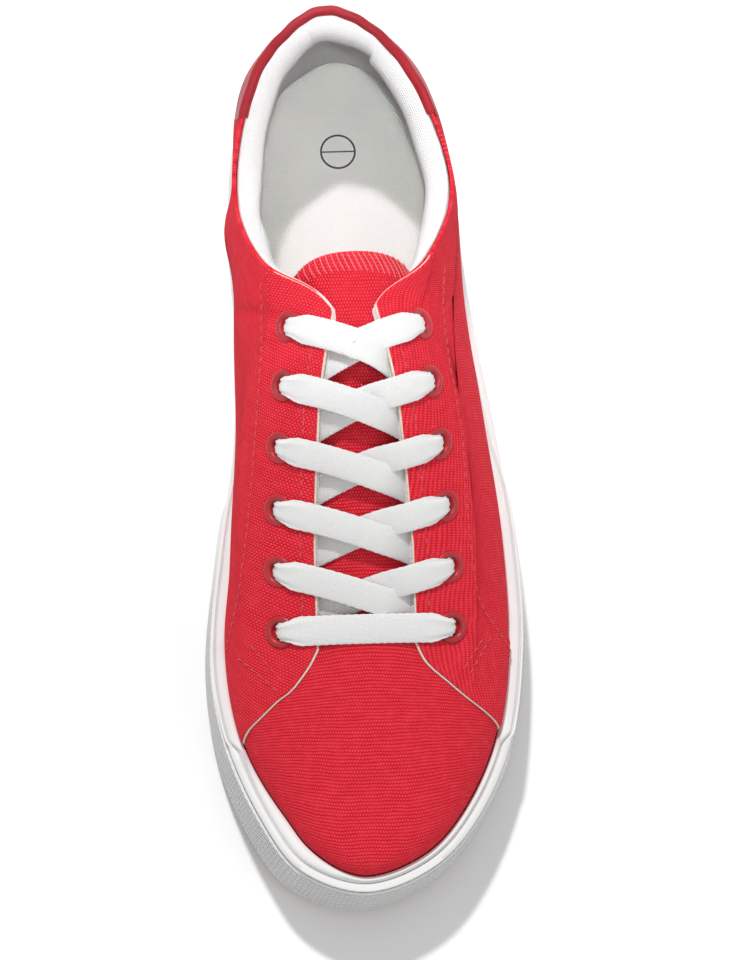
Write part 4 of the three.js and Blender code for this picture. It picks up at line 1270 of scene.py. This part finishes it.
def build_stitching(sizes):
    """Every row of stitches on the upper."""
    paths = []
    for side in (MEDIAL, LATERAL):
        u, v = seam_on_skin(side, REAR_SEAM[side], 160)
        u = u + side * 0.05
        keep = v > 0.02
        paths += stitch_paths(u[keep], v[keep], FACING_OUT + 0.05)
        for row in STITCH_ROWS[side]:
            u, v = seam_on_skin(side, row, 30)
            paths += stitch_paths(u, v, FACING_OUT + 0.1, 1.9, 0.9)
        station = np.linspace(4.75, 7.0, 120)
        paths += stitch_paths(side * station, throat_edge(side * station, -3.6), FACING_OUT + 0.1)
    piece = stitch_mesh("seam_stitches", paths, sizes.thread / MM / 2, "red_thread")
    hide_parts("upper")


# ---------------------------------------------------------------- eyelets and laces


def eyelet_places():
    """The point and normal of each eyelet, by side and number from the top."""
    places = {}
    for side, word in ((MEDIAL, "medial"), (LATERAL, "lateral")):
        for k in range(EYELETS):
            y = FIRST_EYELET + (LAST_EYELET - FIRST_EYELET) * k / (EYELETS - 1)
            x = table_at(THROAT, "x", y) + side * (table_at(THROAT, "half", y) + EYELET_ASIDE)
            u, v = find_on_skin(side, x, y)
            places[side, k] = (word, skin_point(u, v), skin_normal(u, v))
    return places


def turned(profile, sides, point, normal):
    """A profile of radius and height turned about an axis: grid of points, closed both ways."""
    along = Vector(normal)
    spin = Vector((0, 0, 1)).rotation_difference(along).to_matrix()
    ring = np.empty((sides, len(profile), 3))
    for i in range(sides):
        a = 2 * math.pi * i / sides
        for j, (radius, height) in enumerate(profile):
            ring[i, j] = point + np.array(spin @ Vector((radius * math.cos(a), radius * math.sin(a), height)))
    return ring


def punch_eyelets(piece, side):
    """Cuts the eyelet holes through a piece."""
    points, faces, start = [], [], 0
    for (which, _), (_, point, normal) in eyelet_places().items():
        if which != side:
            continue
        ring = turned(((3.35, -6), (3.35, 6)), 24, point, normal)
        points.append(ring.reshape(-1, 3))
        faces += [[start + k for k in quad] for quad in grid_faces(24, 2, closed=True)]
        faces.append([start + 2 * k for k in range(24)][::-1])
        faces.append([start + 2 * k + 1 for k in range(24)])
        start += 48
    mesh = bpy.data.meshes.new("punch")
    mesh.from_pydata((np.concatenate(points) * MM).tolist(), [], faces)
    punch = bpy.data.objects.new("punch", mesh)
    bpy.context.scene.collection.objects.link(punch)
    cut = piece.modifiers.new("holes", "BOOLEAN")
    cut.operation, cut.solver, cut.object = "DIFFERENCE", "EXACT", punch
    shape = bpy.data.meshes.new_from_object(piece.evaluated_get(bpy.context.evaluated_depsgraph_get()))
    piece.modifiers.clear()
    piece.data = shape
    bpy.data.objects.remove(punch)


# An eyelet's section: radius and height over the canvas.
EYELET_PROFILE = (
    (2.8, -2.2), (3.0, -2.2), (3.15, -1.5), (3.2, 1.1), (4.5, 1.12), (4.85, 1.25), (4.9, 1.45),
    (4.65, 1.75), (4.15, 1.9), (3.5, 1.85), (3.05, 1.45), (2.85, 0.8),
)


def build_eyelets():
    """The twelve enamelled rings, each standing square to the canvas under it."""
    for (_, k), (word, point, normal) in eyelet_places().items():
        ring = turned(EYELET_PROFILE, 40, point, normal)
        piece = make_piece(f"ring_{word}_{k + 1}", ring.reshape(-1, 3), swept(ring),
                           material_named("glossy_enamel"), None, 60)
        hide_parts(f"eyelet_{word}_{k + 1}")


# A run of lace between two eyelets: share of the way, height over the skin of the upper and lower run.
RUN_START = (
    (-0.045, -3.2), (-0.036, -1.6), (-0.02, 0.6), (0.02, 2.3), (0.06, 2.6), (0.13, 2.4), (0.235, 1.9),
)
RUN_END = ((0.8, -2.8), (0.9, -2.9), (0.97, -2.6), (1.0, -1.8))
OVER_RUN = (*RUN_START, (0.36, 1.5), (0.5, 1.1), (0.62, 0.5), (0.7, -1.0), (0.76, -2.2), *RUN_END)
UNDER_RUN = (*RUN_START, (0.3, 0.6), (0.36, -0.9), (0.5, -2.1), (0.62, -2.3), (0.7, -2.3), (0.76, -2.6),
             (0.8, -2.9), *RUN_END[1:])
BAR_RUN = (
    (-0.035, -3.2), (-0.028, -1.6), (-0.015, 0.6), (0.015, 2.3), (0.05, 2.6), (0.12, 2.4), (0.22, 1.9),
    (0.35, 1.0), (0.5, 0.8), (0.65, 1.0), (0.78, 1.9), (0.88, 2.4), (0.95, 2.6), (0.985, 2.3), (1.015, 0.6),
    (1.028, -1.6), (1.035, -3.2),
)


def lace_run(name, start, goal, run, nodes, width, bend=0.0):
    """A flat lace from one eyelet to another, gathered to fit through their holes."""
    share, height = np.array(run).T
    t = np.linspace(share[0], share[-1], 90)
    h = np.interp(t, share, height)
    for _ in range(4):
        h[1:-1] = (h[:-2] + 2 * h[1:-1] + h[2:]) / 4
    x = start[0] + (goal[0] - start[0]) * t
    y = start[1] + (goal[1] - start[1]) * t + bend * np.sin(np.clip(t, 0, 1) * math.pi)
    point, normal = over_instep(x, y)
    for _ in range(30):
        normal[1:-1] = unit(normal[:-2] + 2 * normal[1:-1] + normal[2:])
        z = point[:, 2]
        z[1:-1] = (z[:-2] + 2 * z[1:-1] + z[2:]) / 4
    path = point + normal * h[:, None]
    tangent = unit(np.gradient(path, axis=0))
    aside = unit(np.cross(tangent, normal))
    up = np.cross(aside, tangent)
    length = np.linalg.norm(goal - start)
    reach = np.minimum(t - share[0], share[-1] - t) * length
    gather = smoothstep(reach, 2.5, 8.5)
    w = (5.6 + (width - 5.6) * gather) / 2 + 0.07 * np.sin(reach * 2 * math.pi / 0.85)
    thick = (1.9 + (1.15 - 1.9) * gather) / 2
    angles = np.linspace(0, 2 * math.pi, 36, endpoint=False)
    cx = np.sign(np.cos(angles)) * np.abs(np.cos(angles)) ** 0.55
    cy = np.sign(np.sin(angles)) * np.abs(np.sin(angles)) ** 0.8
    folds = 0.26 * (1 - smoothstep(reach, 4.5, 13))[:, None] * np.cos(cx * math.pi * 3.6 + 0.6)
    cup = 0.1 * np.cos(cx * math.pi) + folds * (cy > 0.2)
    ring = (path[:, None] + aside[:, None] * (w[:, None] * cx)[..., None]
            + up[:, None] * (thick[:, None] * cy + cup)[..., None])
    distance = arc_length(path, 0)
    round_uv = np.cumsum(np.concatenate([[0], np.hypot(np.diff(cx * width / 2), np.diff(cy * 0.6))]))
    uv = np.stack([np.repeat(round_uv[None], len(t), 0), np.repeat(distance[:, None], len(angles), 1)], -1)
    piece = make_piece(name, ring.reshape(-1, 3), swept(ring, closed=False), material_named("lace_tape"),
                       uv.reshape(-1, 2), 70)
    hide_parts(*nodes)


def build_laces(sizes):
    places = eyelet_places()
    width = sizes.lace_width / MM
    for k in range(EYELETS - 1):
        node = f"lace_crossing_{k + 1}"
        for side, word, run in ((MEDIAL, "medial", OVER_RUN), (LATERAL, "lateral", UNDER_RUN)):
            start = places[side, k][1]
            goal = places[-side, k + 1][1]
            lace_run(f"lace_{word}_{k + 1}", start, goal, run, [node], width)
    start, goal = places[MEDIAL, EYELETS - 1][1], places[LATERAL, EYELETS - 1][1]
    lace_run("lace_bottom_bar", start, goal, BAR_RUN, ["lace_bar"], width, -0.8)


# ---------------------------------------------------------------- stage


def build_stage(looks):
    scene = bpy.context.scene
    material, tree, shader = new_material("floor", Roughness=0.9, Specular_IOR_Level=0.2)
    speck = noise(tree, place_of(tree), 30.0, 2.0)
    tree.links.new(mix_colour(tree, speck, (0.9, 0.9, 0.9, 1), (0.93, 0.93, 0.93, 1)), shader["Base Color"])
    size = 6.0
    mesh = bpy.data.meshes.new("floor")
    corners = [(-size, -size, 0), (size, -size, 0), (size, size, 0), (-size, size, 0)]
    mesh.from_pydata(corners, [], [[0, 1, 2, 3]])
    mesh.materials.append(material)
    floor = bpy.data.objects.new("floor", mesh)
    scene.collection.objects.link(floor)
    world = bpy.data.worlds.new("studio")
    world.use_nodes = True
    world.node_tree.nodes["Background"].inputs[0].default_value = (1, 1, 1, 1)
    world.node_tree.nodes["Background"].inputs[1].default_value = looks.fill_light
    scene.world = world
    scene.view_settings.view_transform = "Standard"
    for name, place, aim, power, width, spread in (
        ("key", (-0.22, 1.04, 1.95), 0, looks.key_light, 0.12, 180),
        ("inside", (-0.05, -0.25, 1.55), 0.097, looks.inside_light, 0.08, 9),
        ("soft", (1.0, -1.0, 1.9), 0, looks.key_light * 0.2, 1.2, 180),
    ):
        data = bpy.data.lights.new(name, "AREA")
        data.energy, data.size, data.spread = power, width, math.radians(spread)
        lamp = bpy.data.objects.new(name, data)
        lamp.location = place
        line = Vector((0, aim, 0.03)) - Vector(place)
        lamp.rotation_euler = line.to_track_quat("-Z", "Y").to_euler()
        scene.collection.objects.link(lamp)
    build_camera(looks)


def build_camera(looks):
    data = bpy.data.cameras.new("camera")
    camera = bpy.data.objects.new("camera", data)
    bpy.context.scene.collection.objects.link(camera)
    data.lens = looks.lens
    place, target = Vector(looks.camera_place), Vector(looks.camera_target)
    turn = (target - place).to_track_quat("-Z", "Y").to_matrix()
    camera.rotation_euler = (turn @ Matrix.Rotation(looks.camera_roll, 3, "Z")).to_euler()
    camera.location = place
    bpy.context.scene.camera = camera


# ---------------------------------------------------------------- the add-on


def colour_property(name, description, default):
    return bpy.props.FloatVectorProperty(name=name, description=description, default=default, size=4,
                                         subtype="COLOR", min=0, max=1)


class SneakerSizes(bpy.types.PropertyGroup):
    """Sizes that a user may change without changing the last."""

    lace_width: bpy.props.FloatProperty(
        name="Lace width", description="Width of the flat lace", default=0.0091, unit="LENGTH")
    thread: bpy.props.FloatProperty(
        name="Thread", description="Thickness of the sewing thread", default=0.0004, unit="LENGTH")
    overlock_depth: bpy.props.FloatProperty(
        name="Overlock depth", description="How far the tongue's overlock reaches in", default=0.0055,
        unit="LENGTH")


class SneakerLooks(bpy.types.PropertyGroup):
    """Colours, lights and camera."""

    canvas: colour_property("Canvas", "Colour of the upper", (0.88, 0.018, 0.034, 1))
    lining: colour_property("Lining", "Colour of the lining and padding", (0.84, 0.835, 0.83, 1))
    insole: colour_property("Insole", "Colour of the insole's cloth", (0.9, 0.865, 0.845, 1))
    rubber: colour_property("White rubber", "Colour of the wall and lip", (0.8, 0.8, 0.795, 1))
    gum: colour_property("Gum rubber", "Colour of the tread", (0.27, 0.1, 0.048, 1))
    leatherette: colour_property("Leatherette", "Colour of the heel tab", (0.32, 0.014, 0.021, 1))
    enamel: colour_property("Enamel", "Colour of the eyelets", (0.4, 0.022, 0.03, 1))
    lace: colour_property("Lace", "Colour of the lace", (0.84, 0.84, 0.835, 1))
    thread: colour_property("Thread", "Colour of the seams' thread", (0.66, 0.07, 0.08, 1))
    overlock: colour_property("Overlock thread", "Colour of the tongue's overlock", (0.78, 0.2, 0.19, 1))
    cut_edge: colour_property("Cut edge", "Colour of the canvas's raw edge", (0.8, 0.68, 0.58, 1))
    key_light: bpy.props.FloatProperty(
        name="Key light", description="Power of the key lamp", default=31, subtype="POWER")
    inside_light: bpy.props.FloatProperty(
        name="Inside light", description="Power of the lamp that looks into the shoe", default=0.034,
        subtype="POWER")
    fill_light: bpy.props.FloatProperty(
        name="Fill light", description="Strength of the world", default=0.55)
    lens: bpy.props.FloatProperty(name="Lens", description="Focal length in millimetres", default=229.6)
    camera_place: bpy.props.FloatVectorProperty(
        name="Camera place", description="Where the camera stands", default=(-0.0799, -0.4342, 1.8796),
        subtype="TRANSLATION")
    camera_target: bpy.props.FloatVectorProperty(
        name="Camera target", description="What the camera looks at", default=(0.0009, -0.0072, 0.03),
        subtype="TRANSLATION")
    camera_roll: bpy.props.FloatProperty(name="Camera roll", description="Turn about the line of sight",
                                         default=0.1556, subtype="ANGLE")


def build_materials(looks):
    woven_cloth_group()
    fine_grain_group()
    diamond_knurl_group()
    canvas_material("plain_canvas", looks.canvas, 0.0)
    canvas_material("bias_canvas", looks.canvas, math.radians(38))
    lining_material(looks.lining)
    insole = lining_material(looks.insole)
    insole.name = "insole_cloth"
    rubber_material(looks.rubber)
    gum_material(looks.gum)
    leatherette_material(looks.leatherette)
    enamel_material(looks.enamel)
    lace_material(looks.lace)
    thread_material("red_thread", looks.thread)
    thread_material("pink_thread", looks.overlock)
    cut_edge_material(looks.cut_edge)
    thread_material("ink", (0.06, 0.06, 0.06, 1))


class SNEAKER_OT_materials(bpy.types.Operator):
    """Make the shader groups and materials"""

    bl_idname = "sneaker.materials"
    bl_label = "Materials"
    bl_options = {"REGISTER", "UNDO"}

    def execute(self, context):
        build_materials(context.scene.sneaker_looks)
        return {"FINISHED"}


class SNEAKER_OT_stage(bpy.types.Operator):
    """Set up the floor, the lights and the camera"""

    bl_idname = "sneaker.stage"
    bl_label = "Stage"
    bl_options = {"REGISTER", "UNDO"}

    def execute(self, context):
        build_stage(context.scene.sneaker_looks)
        return {"FINISHED"}


class SNEAKER_OT_sole(bpy.types.Operator):
    """Build the outsole, the sidewall, the toe strip and the insole"""

    bl_idname = "sneaker.sole"
    bl_label = "Sole"
    bl_options = {"REGISTER", "UNDO"}

    def execute(self, context):
        build_outsole()
        build_sidewall()
        build_toe_strip()
        build_insole()
        return {"FINISHED"}


class SNEAKER_OT_upper(bpy.types.Operator):
    """Build the vamp, the side pieces and the facings"""

    bl_idname = "sneaker.upper"
    bl_label = "Upper"
    bl_options = {"REGISTER", "UNDO"}

    def execute(self, context):
        build_vamp()
        for side, word in ((MEDIAL, "medial"), (LATERAL, "lateral")):
            build_quarter(side, word)
            build_facing(side, word)
        return {"FINISHED"}


class SNEAKER_OT_lining(bpy.types.Operator):
    """Build the lining and the padded collar"""

    bl_idname = "sneaker.lining"
    bl_label = "Lining"
    bl_options = {"REGISTER", "UNDO"}

    def execute(self, context):
        build_inner_lining()
        build_collar_lining()
        return {"FINISHED"}


class SNEAKER_OT_heel_tab(bpy.types.Operator):
    """Build the heel tab"""

    bl_idname = "sneaker.heel_tab"
    bl_label = "Heel tab"
    bl_options = {"REGISTER", "UNDO"}

    def execute(self, context):
        build_heel_tab()
        return {"FINISHED"}


class SNEAKER_OT_tongue(bpy.types.Operator):
    """Build the tongue with its overlocked end"""

    bl_idname = "sneaker.tongue"
    bl_label = "Tongue"
    bl_options = {"REGISTER", "UNDO"}

    def execute(self, context):
        build_tongue(context.scene.sneaker_sizes)
        return {"FINISHED"}


class SNEAKER_OT_stitching(bpy.types.Operator):
    """Sew every visible row of stitches"""

    bl_idname = "sneaker.stitching"
    bl_label = "Stitching"
    bl_options = {"REGISTER", "UNDO"}

    def execute(self, context):
        build_stitching(context.scene.sneaker_sizes)
        return {"FINISHED"}


class SNEAKER_OT_eyelets(bpy.types.Operator):
    """Set the twelve eyelets"""

    bl_idname = "sneaker.eyelets"
    bl_label = "Eyelets"
    bl_options = {"REGISTER", "UNDO"}

    def execute(self, context):
        build_eyelets()
        return {"FINISHED"}


class SNEAKER_OT_laces(bpy.types.Operator):
    """Thread the lace through the eyelets"""

    bl_idname = "sneaker.laces"
    bl_label = "Laces"
    bl_options = {"REGISTER", "UNDO"}

    def execute(self, context):
        build_laces(context.scene.sneaker_sizes)
        return {"FINISHED"}


OPERATORS = (
    SNEAKER_OT_materials,
    SNEAKER_OT_stage,
    SNEAKER_OT_sole,
    SNEAKER_OT_upper,
    SNEAKER_OT_lining,
    SNEAKER_OT_heel_tab,
    SNEAKER_OT_tongue,
    SNEAKER_OT_stitching,
    SNEAKER_OT_eyelets,
    SNEAKER_OT_laces,
)


class SNEAKER_PT_panel(bpy.types.Panel):
    """The sneaker's pieces, in the order they are built"""

    bl_idname = "SNEAKER_PT_panel"
    bl_label = "Sneaker"
    bl_space_type = "VIEW_3D"
    bl_region_type = "UI"
    bl_category = "Sneaker"

    def draw(self, context):
        for group in (context.scene.sneaker_sizes, context.scene.sneaker_looks):
            for key in group.__annotations__:
                self.layout.prop(group, key)
        for operator in OPERATORS:
            self.layout.operator(operator.bl_idname)


CLASSES = (SneakerSizes, SneakerLooks, *OPERATORS, SNEAKER_PT_panel)


def register():
    for item in CLASSES:
        bpy.utils.register_class(item)
    bpy.types.Scene.sneaker_sizes = bpy.props.PointerProperty(type=SneakerSizes)
    bpy.types.Scene.sneaker_looks = bpy.props.PointerProperty(type=SneakerLooks)


def unregister():
    del bpy.types.Scene.sneaker_looks
    del bpy.types.Scene.sneaker_sizes
    for item in reversed(CLASSES):
        bpy.utils.unregister_class(item)


def main():
    register()
    for operator in OPERATORS:
        group, name = operator.bl_idname.split(".")
        result = getattr(getattr(bpy.ops, group), name)()
        if result != {"FINISHED"}:
            raise RuntimeError(f"{operator.bl_idname} did not finish")


if __name__ == "__main__":
    main()
